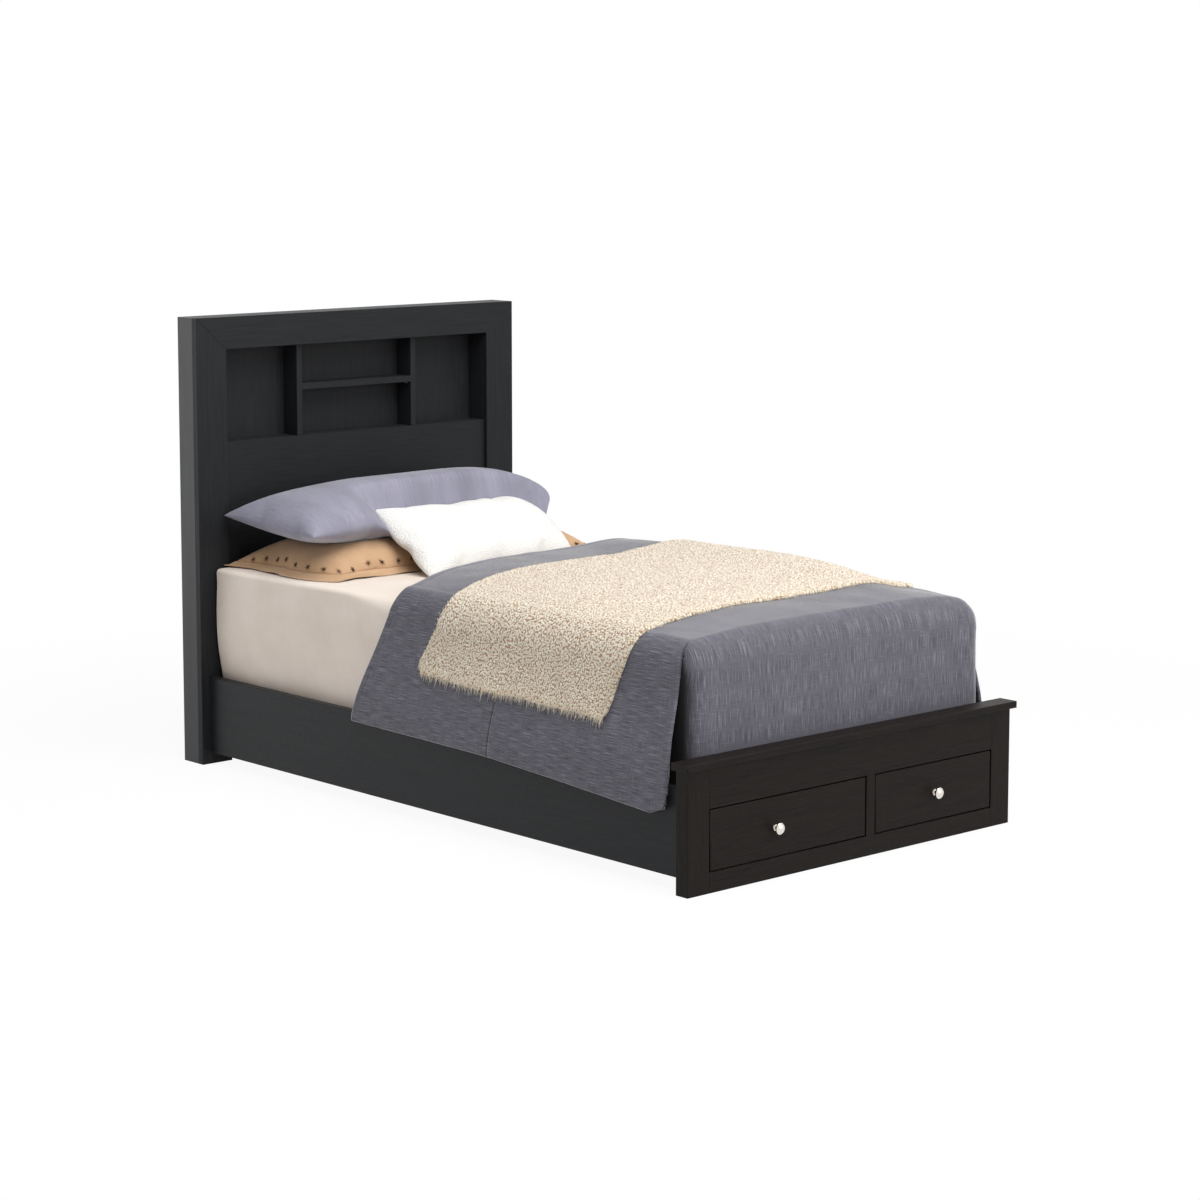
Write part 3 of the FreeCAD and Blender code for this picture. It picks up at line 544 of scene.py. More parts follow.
def make_floor():
    corners = [(-floor_half, -floor_half, 0), (floor_half, -floor_half, 0)]
    corners += [(floor_half, floor_half, 0), (-floor_half, floor_half, 0)]
    mesh = mesh_from("studio_floor", corners, [(0, 1, 2, 3)])
    material = bpy.data.materials.new("pale_floor")
    material.use_nodes = True
    tree = material.node_tree
    tree.nodes.clear()
    matte = node_of(tree, "ShaderNodeBsdfDiffuse", Color=(0.85, 0.85, 0.85, 1))
    white = node_of(tree, "ShaderNodeEmission", Color=(1, 1, 1, 1), Strength=1.0)
    distance = node_of(tree, "ShaderNodeVectorMath", object_place(tree))
    distance.operation = "LENGTH"
    whiteness = remapped(tree, distance.outputs["Value"], *floor_white_from_to, *floor_white_shares)
    share = calculated(tree, "MULTIPLY", seen_directly(tree), whiteness)
    mixed_end(tree, "ShaderNodeOutputMaterial", share, matte, white)
    link("studio_floor", mesh, [material], smooth=False)


# Materials


def new_material(name, **shader):
    """A material with one Principled shader, whose even values are set on its own sockets."""
    material = bpy.data.materials.new(name)
    material.use_nodes = True
    bsdf = material.node_tree.nodes["Principled BSDF"]
    for socket, value in shader.items():
        bsdf.inputs[socket.replace("_", " ")].default_value = value
    return material, material.node_tree, bsdf


def cloth_material(name, roughness, specular, sheen, sheen_roughness):
    """A new material of cloth, and the place on it laid flat."""
    material, tree, bsdf = new_material(
        name, Roughness=roughness, Specular_IOR_Level=specular,
        Sheen_Weight=sheen, Sheen_Roughness=sheen_roughness,
    )
    return material, tree, bsdf, flat_place(tree)


def surfaced(tree, bsdf, body, height, distance, strength=1.0):
    """Gives a shader its colour and its relief."""
    connect(tree, bsdf.inputs["Base Color"], body)
    bump = node_of(tree, "ShaderNodeBump", Height=height, Distance=distance, Strength=strength)
    connect(tree, bsdf.inputs["Normal"], bump.outputs[0])


def added(tree, first, second, share):
    """One relief with a share of another on top."""
    return calculated(tree, "ADD", first, calculated(tree, "MULTIPLY", second, share))


# Each kind of wood: its dark, light and tint colours, gloss and depth of grain
wood_colours = {
    "black_painted_wood": (colour(29, 30, 32), colour(36, 37, 39), colour(32, 33, 35), 0.1, 0.12 * MM),
    # The headboard's sides: the same black paint made lighter, as painted light for the sheen that falls on
    # them from the left
    "black_painted_side": (colour(45, 46, 48), colour(53, 54, 56), colour(49, 50, 52), 0.25, 0.1 * MM),
    "black_painted_rail": (colour(29, 30, 32), colour(36, 37, 39), colour(32, 33, 35), 0.14, 0.12 * MM),
    "espresso_wood": (colour(15, 12, 10), colour(26, 21, 18), colour(30, 20, 17), 0.1, 0.2 * MM),
    "drawer_box_wood": (colour(196, 170, 132), colour(216, 194, 158), colour(206, 178, 140), 0.3, 0.15 * MM),
    "case_board": (colour(58, 54, 50), colour(70, 66, 61), colour(62, 57, 52), 0.25, 0.08 * MM),
    "pine_wood": (colour(205, 172, 122), colour(226, 198, 152), colour(196, 154, 98), 0.3, 0.2 * MM),
}


def axis_scale(axis, lengthwise, crosswise):
    """A noise scale that is coarse along one axis and fine across it."""
    return tuple(lengthwise if index == axis else crosswise for index in range(3))


def wood_material(name, axis, dark, light, tint, gloss, grain_depth):
    """Finished wood whose grain runs along one axis: pores, broad figure and an uneven sheen."""
    material, tree, bsdf = new_material(name, Specular_IOR_Level=gloss)
    place = object_place(tree)
    figure = stretched_noise(tree, place, axis_scale(axis, 2.2, 38), 4)
    streaks = stretched_noise(tree, place, axis_scale(axis, 9, 330), 3)
    pores = stretched_noise(tree, place, axis_scale(axis, 30, 900), 2)
    body = tinted(tree, dark, (streaks, 0.35, 0.68, 1, light), (figure, 0.45, 0.75, 0.55, tint))
    uneven = remapped(tree, streaks, 0.3, 0.7, 0.36, 0.46)
    rough = calculated(tree, "ADD", uneven, remapped(tree, figure, 0.3, 0.7, 0, 0.06))
    connect(tree, bsdf.inputs["Roughness"], rough)
    surfaced(tree, bsdf, body, added(tree, remapped(tree, pores, 0.25, 0.45), streaks, 0.6), grain_depth)
    return material


def cloth_weave(tree, flat, threads):
    """The relief of a plain weave, with that many threads to a metre."""
    scale = threads / 20
    waves = []
    for direction in ("X", "Y"):
        wave = node_of(tree, "ShaderNodeTexWave", Vector=flat, Scale=scale, Distortion=0.6, Detail=1.0)
        wave.wave_type = "BANDS"
        wave.bands_direction = direction
        waves.append(wave.outputs["Fac"])
    return calculated(tree, "MAXIMUM", *waves)


def slub_material(name, ground, pale, dark, sheen, streak=1.0, clouds=0.25, shaded=False):
    """Linen-like cloth: fine uneven threads along its length, sparse paler ones across it."""
    material, tree, bsdf, flat = cloth_material(name, 0.8, 0.2, sheen, 0.3)
    long_slubs = stretched_noise(tree, flat, (560, 20, 1), 2, 0.55)
    fine_slubs = stretched_noise(tree, flat, (1300, 60, 1), 1, 0.5)
    cross_slubs = stretched_noise(tree, flat, (26, 640, 1), 2, 0.55)
    cloudy = stretched_noise(tree, flat, (9, 5, 1), 3, 0.5)
    body = tinted(
        tree, ground,
        (long_slubs, 0.48, 0.3, streak, dark),
        (fine_slubs, 0.48, 0.28, 0.6 * streak, dark),
        (long_slubs, 0.52, 0.72, streak, pale),
        (cross_slubs, 0.56, 0.74, 0.6 * streak, pale),
        (cloudy, 0.4, 0.75, clouds, dark),
    )
    # Darkens the cloth toward near-black by the mesh's shade attribute: painted shade in the comforter's slit
    # hollow, and its seam's dark line
    if shaded:
        shade = tree.nodes.new("ShaderNodeAttribute")
        shade.attribute_name = "shade"
        body = mixed_colour(tree, shade.outputs["Fac"], body, colour(8, 8, 10))
    relief = added(tree, added(tree, long_slubs, fine_slubs, 0.6), cross_slubs, 0.5)
    surfaced(tree, bsdf, body, relief, 0.8 * MM, 0.6)
    return material


def plain_cloth_material(name, ground, shade, sheen):
    """Plain woven cloth with faint clouds of a second colour."""
    material, tree, bsdf, flat = cloth_material(name, 0.9, 0.2, sheen, 0.4)
    cloudy = stretched_noise(tree, flat, (7, 7, 1), 4, 0.55)
    fine = stretched_noise(tree, flat, (160, 160, 1), 3, 0.6)
    body = tinted(tree, ground, (cloudy, 0.35, 0.7, 1, shade), (fine, 0.45, 0.75, 0.3, shade))
    weave = cloth_weave(tree, flat, cloth_threads)
    surfaced(tree, bsdf, body, added(tree, weave, fine, 0.8), 0.3 * MM, 0.6)
    return material


def pile_material(name, ground, shade, loops, gap_painted_shade, sheen, depth):
    """A looped pile: granules, that many to a metre, with painted shade darkening the gaps between them."""
    material, tree, bsdf, flat = cloth_material(name, 0.95, 0.05, sheen, 0.5)
    warp = remapped(tree, stretched_noise(tree, flat, (90, 90, 1), 2, 0.6), 0, 1, -1.5 * MM, 1.5 * MM)
    offset = node_of(tree, "ShaderNodeCombineXYZ", warp, warp).outputs[0]
    bent = node_of(tree, "ShaderNodeVectorMath", flat, offset).outputs[0]
    cells = node_of(tree, "ShaderNodeTexVoronoi", Vector=bent, Scale=loops)
    cells.voronoi_dimensions = "2D"
    distance = cells.outputs["Distance"]
    grit = stretched_noise(tree, flat, (900, 900, 1), 2, 0.6)
    cloudy = stretched_noise(tree, flat, (14, 14, 1), 3, 0.5)
    # Painted shade: the gaps between the loops are darkened toward the shade colour
    body = mixed_colour(tree, remapped(tree, distance, 0.62, 0.26, 1 - gap_painted_shade, 1), shade, ground)
    body = tinted(tree, body, (grit, 0.5, 0.3, 0.35, shade), (cloudy, 0.5, 0.75, 0.15, shade))
    surfaced(tree, bsdf, body, added(tree, remapped(tree, distance, 0.62, 0.26), grit, 0.4), depth, 0.9)
    return material


def thread_material(name, tint, shade):
    """Thread or fibre, in two mixed colours."""
    material, tree, bsdf = new_material(name, Roughness=0.8, Specular_IOR_Level=0.2)
    strands = stretched_noise(tree, object_place(tree), (900, 900, 900), 2, 0.5)
    surfaced(tree, bsdf, tinted(tree, tint, (strands, 0.4, 0.65, 1, shade)), strands, 0.3 * MM, 0.6)
    return material


def metal_material(name, tint, roughness, wear):
    """Bare metal with faint smears in its gloss."""
    material, tree, bsdf = new_material(name, Metallic=1.0, Base_Color=tint)
    smears = stretched_noise(tree, object_place(tree), (120, 120, 120), 3, 0.6)
    connect(tree, bsdf.inputs["Roughness"], remapped(tree, smears, 0.3, 0.7, roughness, roughness + wear))
    return material


def plastic_material(name, tint):
    """Moulded plastic with a fine grain."""
    material, tree, bsdf = new_material(name, Roughness=0.5)
    surfaced(tree, bsdf, tint, stretched_noise(tree, object_place(tree), (900, 900, 900)), 0.1 * MM, 0.4)
    return material


# Boards


def grain_axis(name):
    """The axis of a board's longest side."""
    low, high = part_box(name)
    size = high - low
    return max(range(3), key=lambda axis: size[axis])


def eased_board(name, material):
    """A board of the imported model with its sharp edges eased, as sanding and paint leave them."""
    form = bmesh.new()
    form.from_mesh(nodes[name].data)
    bmesh.ops.remove_doubles(form, verts=form.verts, dist=0.01 * MM)
    bmesh.ops.dissolve_limit(form, angle_limit=math.radians(0.5), verts=form.verts, edges=form.edges)
    long = [edge for edge in form.edges if len(edge.link_faces) == 2 and edge.calc_length() > short_edge]
    sharp = [edge for edge in long if edge.calc_face_angle() > sharp_angle]
    bmesh.ops.bevel(
        form, geom=sharp, offset=board_ease, offset_type="OFFSET", segments=2,
        profile=0.5, affect="EDGES", clamp_overlap=True,
    )
    low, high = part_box(name)
    middle = (low + high) / 2
    bmesh.ops.translate(form, verts=form.verts, vec=-middle)
    mesh = bpy.data.meshes.new(name + "_eased")
    form.to_mesh(mesh)
    form.free()
    board = link(name + "_eased", mesh, [material])
    board.location = middle
    board.modifiers.new("even_faces", "WEIGHTED_NORMAL").keep_sharp = True
    finished(board, nodes[name]["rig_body"], [name])


def dress_wood():
    made = {}
    for part in frame["record"]["subparts"]:
        name, slot = part["node"], part["material_slot"]
        if slot not in wood_colours:
            continue
        finish = slot
        if name.startswith("headboard_side"):
            # A lighter copy of the black paint on the headboard's sides: painted light
            finish = "black_painted_side"
        elif name.startswith("side_rail"):
            finish = "black_painted_rail"
        axis = grain_axis(name)
        if (finish, axis) not in made:
            made[finish, axis] = wood_material(f"{finish}_{'xyz'[axis]}", axis, *wood_colours[finish])
        eased_board(name, made[finish, axis])


# Metal and plastic


def dress_hardware():
    finishes = {
        "zinc_steel": metal_material("zinc_plated_steel", colour(196, 198, 202), 0.32, 0.14),
        "polished_nickel": metal_material("polished_nickel", colour(226, 220, 212), 0.12, 0.08),
        "glide_plastic": plastic_material("glide_plastic", colour(38, 38, 40)),
    }
    for part in frame["record"]["subparts"]:
        if part["material_slot"] in finishes:
            mesh = nodes[part["node"]].data
            mesh.materials.clear()
            mesh.materials.append(finishes[part["material_slot"]])


# Cloth sheets


def welded(patches):
    """Joins grids of points that meet: each patch has points, their values and its quads."""
    every_points, every_values, every_quads = zip(*patches)
    starts = np.cumsum([0] + [len(points) for points in every_points])
    points = np.concatenate(every_points)
    quads = np.concatenate([quads + start for quads, start in zip(every_quads, starts)])
    keys = np.floor(points / (0.05 * MM) + 0.31).astype(np.int64)
    _, first, back = np.unique(keys, axis=0, return_index=True, return_inverse=True)
    return points[first], np.concatenate(every_values)[first], back.reshape(-1)[quads]


def quad_edges(quads):
    """The edges of some quads, each as two point numbers."""
    return np.concatenate([quads[:, [corner, (corner + 1) % 4]] for corner in range(4)])


def point_normals(points, quads):
    """The normal at each point, from the quads round it."""
    a, b, c, d = (points[quads[:, corner]] for corner in range(4))
    across = np.cross(c - a, d - b)
    normals = np.zeros_like(points)
    for corner in range(4):
        np.add.at(normals, quads[:, corner], across)
    return normals / np.maximum(np.linalg.norm(normals, axis=1), 1e-12)[:, None]


def rim_points(count, quads):
    """Which points lie on an open edge of the quads."""
    edges = quad_edges(quads)
    edges = np.sort(edges[edges[:, 0] != edges[:, 1]], axis=1)
    pairs, times = np.unique(edges, axis=0, return_counts=True)
    rim = np.zeros(count, bool)
    rim[pairs[times == 1].ravel()] = True
    return rim


def thick_sheet(name, points, quads, thickness, edge, roundness, flat):
    """A closed sheet under the given outer face, with its free edges rounded over."""
    normals = point_normals(points, quads)
    rim = rim_points(len(points), quads)
    fullness = np.where(rim, 0, rounded_in(edge / roundness))
    sunk = (thickness / 2 * (1 - fullness))[:, None]
    outer = points - normals * sunk
    inner = points - normals * (thickness[:, None] - sunk)
    below = np.arange(len(points))
    below[~rim] = len(points) + np.arange((~rim).sum())
    every = np.concatenate([outer, inner[~rim]])
    faces = []
    for quad in np.concatenate([quads, below[quads][:, ::-1]]).tolist():
        corners = [value for place, value in enumerate(quad) if value != quad[place - 1]]
        if len(corners) > 2:
            faces.append(corners)
    return mesh_from(name, every, faces, np.concatenate([flat, flat[~rim]]))


# Mattress and fitted sheet


def block_rings(half_x, low_y, high_y, corners, steps):
    """A rounded rectangle's outline: places and outward directions, as a closed loop."""
    places, outward = [], []
    turns = [(1, 1, 0), (-1, 1, 90), (-1, -1, 180), (1, -1, 270)]

    def centre_of(sx, sy):
        radius = corners[1] if sy > 0 else corners[0]
        end = high_y - radius if sy > 0 else low_y + radius
        return np.array([sx * (half_x - radius), end]), radius

    for number, (sx, sy, start) in enumerate(turns):
        centre, radius = centre_of(sx, sy)
        angles = np.radians(start + np.linspace(0, 90, 9))
        directions = np.stack([np.cos(angles), np.sin(angles)], 1)
        places.extend(centre + radius * directions)
        outward.extend(directions)
        target, next_radius = centre_of(*turns[(number + 1) % 4][:2])
        end, start_next = places[-1], target + next_radius * directions[-1]
        count = int(np.linalg.norm(start_next - end) / steps)
        for share in np.linspace(0, 1, count + 1)[1:-1]:
            places.append(end + (start_next - end) * share)
            outward.append(directions[-1])
    return np.array(places), np.array(outward)


def block_profile(low_z, high_z, edge, edges, under):
    """The inset and height of each ring up a block's side and over its top edge."""
    lower = high_z - max(edges)
    profile = [(np.full(len(edge), under), low_z)] if under else []
    profile += [(0 * edge, z) for z in [low_z + 1 * MM] + list(spaced(low_z + 12 * MM, lower, 18 * MM))]
    profile += [(0 * edge, lower + (max(edges) - edge) * 0.999)]
    for angle in np.radians([15, 30, 45, 60, 75, 90]):
        profile.append((edge * (1 - math.cos(angle)), high_z - edge * (1 - math.sin(angle))))
    return profile


def rounded_block(half_x, low_y, high_y, low_z, high_z, corners, edges, steps, under=0.0):
    """Rings of points from a block's foot over its rounded top edge to the middle of its top."""
    outline, outward = block_rings(half_x, low_y, high_y, corners, steps)
    middle = np.array([0, (low_y + high_y) / 2])
    edge = edges[0] + (edges[1] - edges[0]) * blend_along(edge_change, outline[:, 1])
    rings, unfolded = [], []
    profile = block_profile(low_z, high_z, edge, edges, under)
    length = 0
    before = profile[0]
    for inset, z in profile:
        length = length + np.hypot(inset - before[0], z - before[1])
        before = (inset, z)
        rings.append(np.column_stack([outline - outward * inset[:, None], np.broadcast_to(z, len(outline))]))
        unfolded.append(outline + outward * (high_z - low_z - length)[:, None])
    top = outline - outward * edge[:, None]
    for share in (0.97, 0.93, 0.88, 0.8, 0.7, 0.6, 0.5, 0.4, 0.3, 0.2, 0.1):
        unfolded.append(middle + (top - middle) * share)
        rings.append(np.column_stack([unfolded[-1], np.full(len(outline), high_z)]))
    quads = faces_of(len(rings), len(outline), wrap=True)
    return np.concatenate(rings), quads, np.concatenate(unfolded), len(outline)


def make_mattress(material):
    points, quads, flat, around = rounded_block(
        mattress_high.x, mattress_low.y, mattress_high.y, mattress_low.z, mattress_high.z,
        mattress_corners, mattress_edges, mattress_cell, under=mattress_edges[0] / 2,
    )
    bottom, top = np.arange(around)[::-1], np.arange(len(points) - around, len(points))
    mesh = mesh_from("mattress_block", points, quads.tolist() + [bottom, top], flat)
    return finished(link("mattress_block", mesh, [material]), "frame", ["mattress"])


def sheet_face(points, quads, flat):
    """The fitted sheet's outer face: it bulges near the head and is drawn into small folds there."""
    shown = blend_along(sheet_fold_start, points[:, 1])
    down = sheet_top - points[:, 2]
    length = flat[:, 1]
    drape = 0.6 + 0.5 * hills(length / 0.11, down / 0.5, 11)
    drape += 0.4 * hills(length / 0.045 + down / 0.4, down / 0.3, 12)
    waves = 1 + hills(points[:, 0] / 0.12, points[:, 1] / 0.07, 13)
    lift = sheet_folds * np.clip(drape, 0, 2) * blend_in(*sheet_fold_depths, down)
    lift += sheet_waves * waves * blend_in(*sheet_wave_depths, down)
    points = points + point_normals(points, quads) * (shown * lift)[:, None]
    bulge = sheet_bulge * blend_along(bulge_start, points[:, 1]) * blend_in(*bulge_depths, down)
    points[:, 0] += np.sign(points[:, 0]) * bulge * blend_in(*bulge_across, np.abs(points[:, 0]))
    return points


def make_fitted_sheet(material):
    block, quads, flat, around = rounded_block(
        sheet_half, mattress_low.y - sheet_cover, mattress_high.y + sheet_cover, sheet_low.z, sheet_top,
        [radius + sheet_cover for radius in mattress_corners],
        [edge + sheet_cover for edge in mattress_edges], sheet_cell,
    )
    points = sheet_face(block, quads, flat)
    inner = points - point_normals(block, quads) * (sheet_cover - sheet_thin)
    count = len(points)
    closing = np.arange(count - around, count)
    faces = quads.tolist() + (quads[:, ::-1] + count).tolist() + [closing, closing[::-1] + count]
    for number in range(around):
        after = (number + 1) % around
        faces.append([after, number, number + count, after + count])
    both, flat = np.concatenate([points, inner]), np.concatenate([flat, flat])
    mesh = mesh_from("fitted_sheet_cloth", both, faces, flat)
    cloth = finished(link("fitted_sheet_cloth", mesh, [material]), "frame", ["fitted_sheet"])


# Comforter. Its points carry u and v, the place on the flat cloth, then how far they are down the side and
# down the foot, how far from a free edge, and how much the cloth is thinned in the slit's hollow and darkened
# there with painted shade


def quilt_hem(y):
    """The height of the side drops' hem at each place along the bed."""
    level = np.interp(y, [along(d) for d in hem_places], hem_heights)
    return level + flap_corner * (1 - blend_in(foot_round, foot_round + flap_corner_reach, y))


def head_edge(across):
    """Where the comforter's head edge lies, for flat distances across the bed from its middle."""
    fine = np.linspace(-1, 1, 401)
    line = smooth_line(head_edge_across, [along(d) for d in head_edge_places], fine, 25)
    return np.interp(across, fine, line)


def rail_lean(z):
    """How far a side drop stands out from the shoulder, on its way down to the rail."""
    share = np.clip((shoulder_z - z) / (shoulder_z - rail_top), 0, 1)
    reach = rail_face + quilt_rail_gap + quilt_side - flat_half - shoulder_wide
    return reach * (share - 0.45 * np.sin(2 * np.pi * share) / (2 * np.pi))


def crown_height(x, y):
    """The gentle rise of the comforter's top, away from its edges."""
    left_power, right_power = crown_powers
    power = left_power + (right_power - left_power) * (x > 0) * blend_along(crown_square_start, y)
    over = 1 - np.clip(np.abs(x) / flat_half, 0, 1) ** power
    begun = 1 - (1 - np.clip((y - foot_round) / crown_reach, 0, 1)) ** 2
    across, lengthwise = (x - ridge_place[0]) / ridge_reach[0], (y - along(ridge_place[1])) / ridge_reach[1]
    ridge = quilt_ridge * np.exp(-across ** 2 - lengthwise ** 4)
    return (quilt_crown * (crown_foot_share + (1 - crown_foot_share) * begun) + ridge) * over


def drop_levels():
    """The levels of a drop, from the top: each one's turn round the shoulder and share of the hang."""
    turns = np.linspace(0, quarter_turn, shoulder_steps + 1)[1:]
    length = shoulder_z - quilt_mean_hem
    hang = hemmed(length, quilt_cell)[1:] / length
    return np.concatenate([turns, np.full(len(hang), quarter_turn)]), np.concatenate([0 * turns, hang])


def drop_at(turn, share, hem):
    """A drop's points: how far out from the top's edge, how high, and how far down the cloth they lie."""
    fall = share * (shoulder_z - hem)
    height = shoulder_z + shoulder_high * np.cos(turn) - fall
    return shoulder_wide * np.sin(turn), height, shoulder_arc * turn / quarter_turn + fall


def slit_distance(across, drop):
    """The distance from the slit's line at a corner, whose tip is some way down the shoulder."""
    return np.hypot(across, np.clip(slit_tip - drop, 0, None))


def quilt_grid(x, y, z, u, v, side, foot, edge, hollow_and_shade):
    """A grid of points, the values that go with them, and its quads."""
    grids = np.stack(np.broadcast_arrays(x, y, z, u, v, side, foot, edge, hollow_and_shade), -1)
    flat = grids.reshape(-1, 9)
    return flat[:, :3], flat[:, 3:], faces_of(*grids.shape[:2])


def quilt_main():
    """The top and both side drops: rows along the bed, columns across it."""
    turn, share = drop_levels()
    levels = len(turn)
    top_x = spaced(-flat_half, flat_half, quilt_cell)
    straight = along(quilt_straight)
    extra = [foot_round + value * MM for value in (2, 4, 7)]
    extra += [along(seam_place) + value * MM for value in range(-18, 20, 2)]
    rows = spaced(foot_round, straight, quilt_cell, extra)
    reach = head_edge(0) - straight
    shares = hemmed(reach, quilt_cell)[1:] / reach
    row_y = np.concatenate([rows, np.full(len(shares), straight)])[:, None]
    row_share = np.concatenate([0 * rows, shares])[:, None]
    # Each side's columns take the head edge at their own distance across
    mean_drop = drop_at(turn, share, quilt_mean_hem)[2]
    ends = head_edge(np.concatenate([-(flat_half + mean_drop[::-1]), top_x, flat_half + mean_drop]))
    y = row_y + row_share * (ends[None] - straight)
    x, z, side = np.zeros((3, *y.shape))
    hem_gap = np.ones_like(y)
    x[:, levels:-levels] = top_x
    z[:, levels:-levels] = bedding_floor + quilt_rise + crown_height(top_x[None], y[:, levels:-levels])
    for sign, block in ((-1, slice(levels - 1, None, -1)), (1, slice(len(ends) - levels, None))):
        hem = quilt_hem(y[:, block])
        out, height, side[:, block] = drop_at(turn, share, hem)
        x[:, block] = sign * (flat_half + out + rail_lean(height))
        z[:, block] = height
        hem_gap[:, block] = height - hem
    u = np.where(side > 0, np.sign(x) * (flat_half + side), x)
    slit = slit_distance(slit_turn * shoulder_wide + y - foot_round, side)
    slit = np.where(side > slit_tip / 2, slit, 1.0)
    edge = np.minimum(np.minimum(hem_gap, ends[None] - y), slit)
    return quilt_grid(x, y, z, u, y, side, 0, edge, 0)


def quilt_foot():
    """The drop at the foot, between its two corners."""
    turn, share = (np.concatenate([[0], part])[::-1, None] for part in drop_levels())
    x = spaced(-flat_half, flat_half, quilt_cell)[None]
    out, height, drop = drop_at(turn, share, quilt_foot_hem)
    z = height + np.cos(turn) * crown_height(x, foot_round)
    edge = np.where(drop > shoulder_arc, z - quilt_foot_hem, 1.0)
    return quilt_grid(x, foot_round - out, z, x, foot_round - drop, 0, drop, edge, 0)


def slit_at(turn, share):
    """The height of a level at the slit, and how far round the corner the slit lies there."""
    height = drop_at(turn, share, slit_foot_z)[1]
    opened = np.clip((slit_tip_z - height) / (slit_tip_z - slit_low_z), 0, 1)
    return height, slit_turn * (slit_start_share + (1 - slit_start_share) * opened)


def flap_row(turn, share):
    """A level of the side's flap, which hangs over the end of the foot's drop."""
    slit = slit_at(turn, share)[1]
    angles = slit * flap_shares
    bend = angles / slit_turn
    low = quilt_hem(foot_round)
    hem = low + (flap_low_z - low) * (1 - np.sqrt(np.clip(1 - bend ** 3, 0, 1)))
    out, z, drop = drop_at(turn, share, hem)
    out = out + rail_lean(z) * (1 - flap_draw * bend ** 2 * blend_in(*flap_draw_z, z))
    edge = np.minimum(slit_distance((slit - angles) * out, drop), z - hem)
    return angles, out, z, flat_half + drop, foot_round - out * np.sin(angles), drop, edge, 0 * angles


def panel_row(turn, share):
    """A level of the foot's drop round its corner, which runs on into a hollow behind the flap."""
    height, slit = slit_at(turn, share)
    tuck = blend_in(slit_tip_z, slit_tip_z - tuck_length, height)
    opening = blend_in(slit_tip_z, slit_tip_z - opening_length, height)
    gap = slit_gap * blend_in(slit_tip_z, slit_gap_z, height)
    first = (slit + gap) * (1 - tuck) - tuck_turn * tuck
    angles = first + (quarter_turn - first) * panel_shares
    hollow_start = slit + (hollow_turns[0] - slit) * opening
    hollow_end = slit + hollow_first_turn + (hollow_turns[1] - slit) * opening
    # How far the cloth is hollowed here; the same share paints shade into the hollow through the shade
    # attribute
    hollow_and_shade = tuck * (1 - blend_in(hollow_start, hollow_end, angles))
    deep = hollow_lip + (hollow_depth - hollow_lip) * blend_in(0, hollow_lip_turn, angles)
    hem = quilt_foot_hem - panel_sag * (1 - blend_in(*sag_turns, angles))
    out, z, drop = drop_at(turn, share, hem)
    out = out - deep * hollow_and_shade
    free = first if share else slit
    edge = np.minimum(slit_distance(np.abs(angles - free) * out, drop), z - hem)
    return angles, out, z, flat_half + out * (quarter_turn - angles), foot_round - drop, drop, edge, hollow_and_shade


def quilt_corner(row_of, sign):
    """One part of a foot corner, from rows of angles round it: the flap or the panel behind it."""
    rows = [np.broadcast_arrays(*row_of(turn, share)) for turn, share in [(0, 0), *zip(*drop_levels())]]
    angles, out, z, u, v, drop, edge, hollow_and_shade = np.moveaxis(np.array(rows), 1, 0)
    ahead = np.maximum(angles, 0)
    x = sign * (flat_half + out * np.cos(ahead))
    y = foot_round - out * (np.sin(ahead) + np.minimum(angles, 0))
    side, foot = drop * np.clip(np.cos(angles), 0, 1), drop * np.clip(np.sin(angles), 0, 1)
    points, values, quads = quilt_grid(x, y, z, sign * u, v, side, foot, edge, hollow_and_shade)
    return points, values, quads if sign > 0 else quads[:, ::-1]


def seam_offset(v, side):
    """How far a place is from the seam's line, which leans toward the foot at its top."""
    return v - along(seam_place) - seam_lean * (side - seam_middle)


def seam_share(u, v, side):
    """1 on the seam down the left drop, and 0 a little away from it."""
    off = seam_offset(v, side) / seam_half
    return np.exp(-off * off) * blend_in(*seam_top, side) * (u < 0)


def flared(points):
    """Draws the comforter out at the right of its foot, where it stands off the mattress."""
    x, y, z = points.T
    share = blend_in(*flare_across, x) * (1 - blend_along(flare_end, y))
    raised = share * blend_in(*lift_heights, z) * (1 - blend_in(*lift_end_across, x))
    drooped = 1 - 2 * (1 - blend_along(droop_end, y))
    return points + np.column_stack([corner_flare * share, 0 * y, corner_lift * raised * drooped])


def quilt_relief(u, v, side, foot, edge):
    """How far the comforter's face stands out."""
    mean, broad, small = loft_heights
    relief = mean + broad * hills(u / 0.21, v / 0.24, 3) + small * hills(u / 0.06, v / 0.085, 4)
    relief *= 1 - blend_in(0, loft_end, np.maximum(side, foot))
    folds = 1.1 + hills(v / 0.19 + side / 0.9, side / 0.6, 5)
    folds += 0.45 * hills(v / 0.07 - side / 0.5, side / 0.35, 6)
    relief += fold_heights[0] * blend_in(*fold_start, side) * np.clip(folds, 0, 3)
    folds = 1 + hills(u / 0.17 + foot / 0.8, foot / 0.5, 7)
    relief += fold_heights[1] * blend_in(*fold_start, foot) * folds
    creases = hills(u / 0.011 + foot / 0.09, foot / 0.06, 8)
    creases += 0.6 * hills(u / 0.023 - foot / 0.1, foot / 0.05, 9)
    relief += crease_height * blend_in(*crease_start, foot) * (1 - blend_in(*crease_end, foot)) * creases
    past_seam = seam_offset(v, side)
    step = blend_in(*seam_step_start, past_seam) * (1 - blend_in(*seam_step_end, past_seam))
    relief -= seam_depth * seam_share(u, v, side) + seam_step * step * blend_in(*seam_top, side) * (u < 0)
    stitching = np.exp(-((edge - stitch_line) / stitch_half) ** 2)
    relief -= stitch_depth * stitching * (0.6 + 0.4 * np.sin((u + v) * 2 * np.pi / stitch_pitch))
    return relief


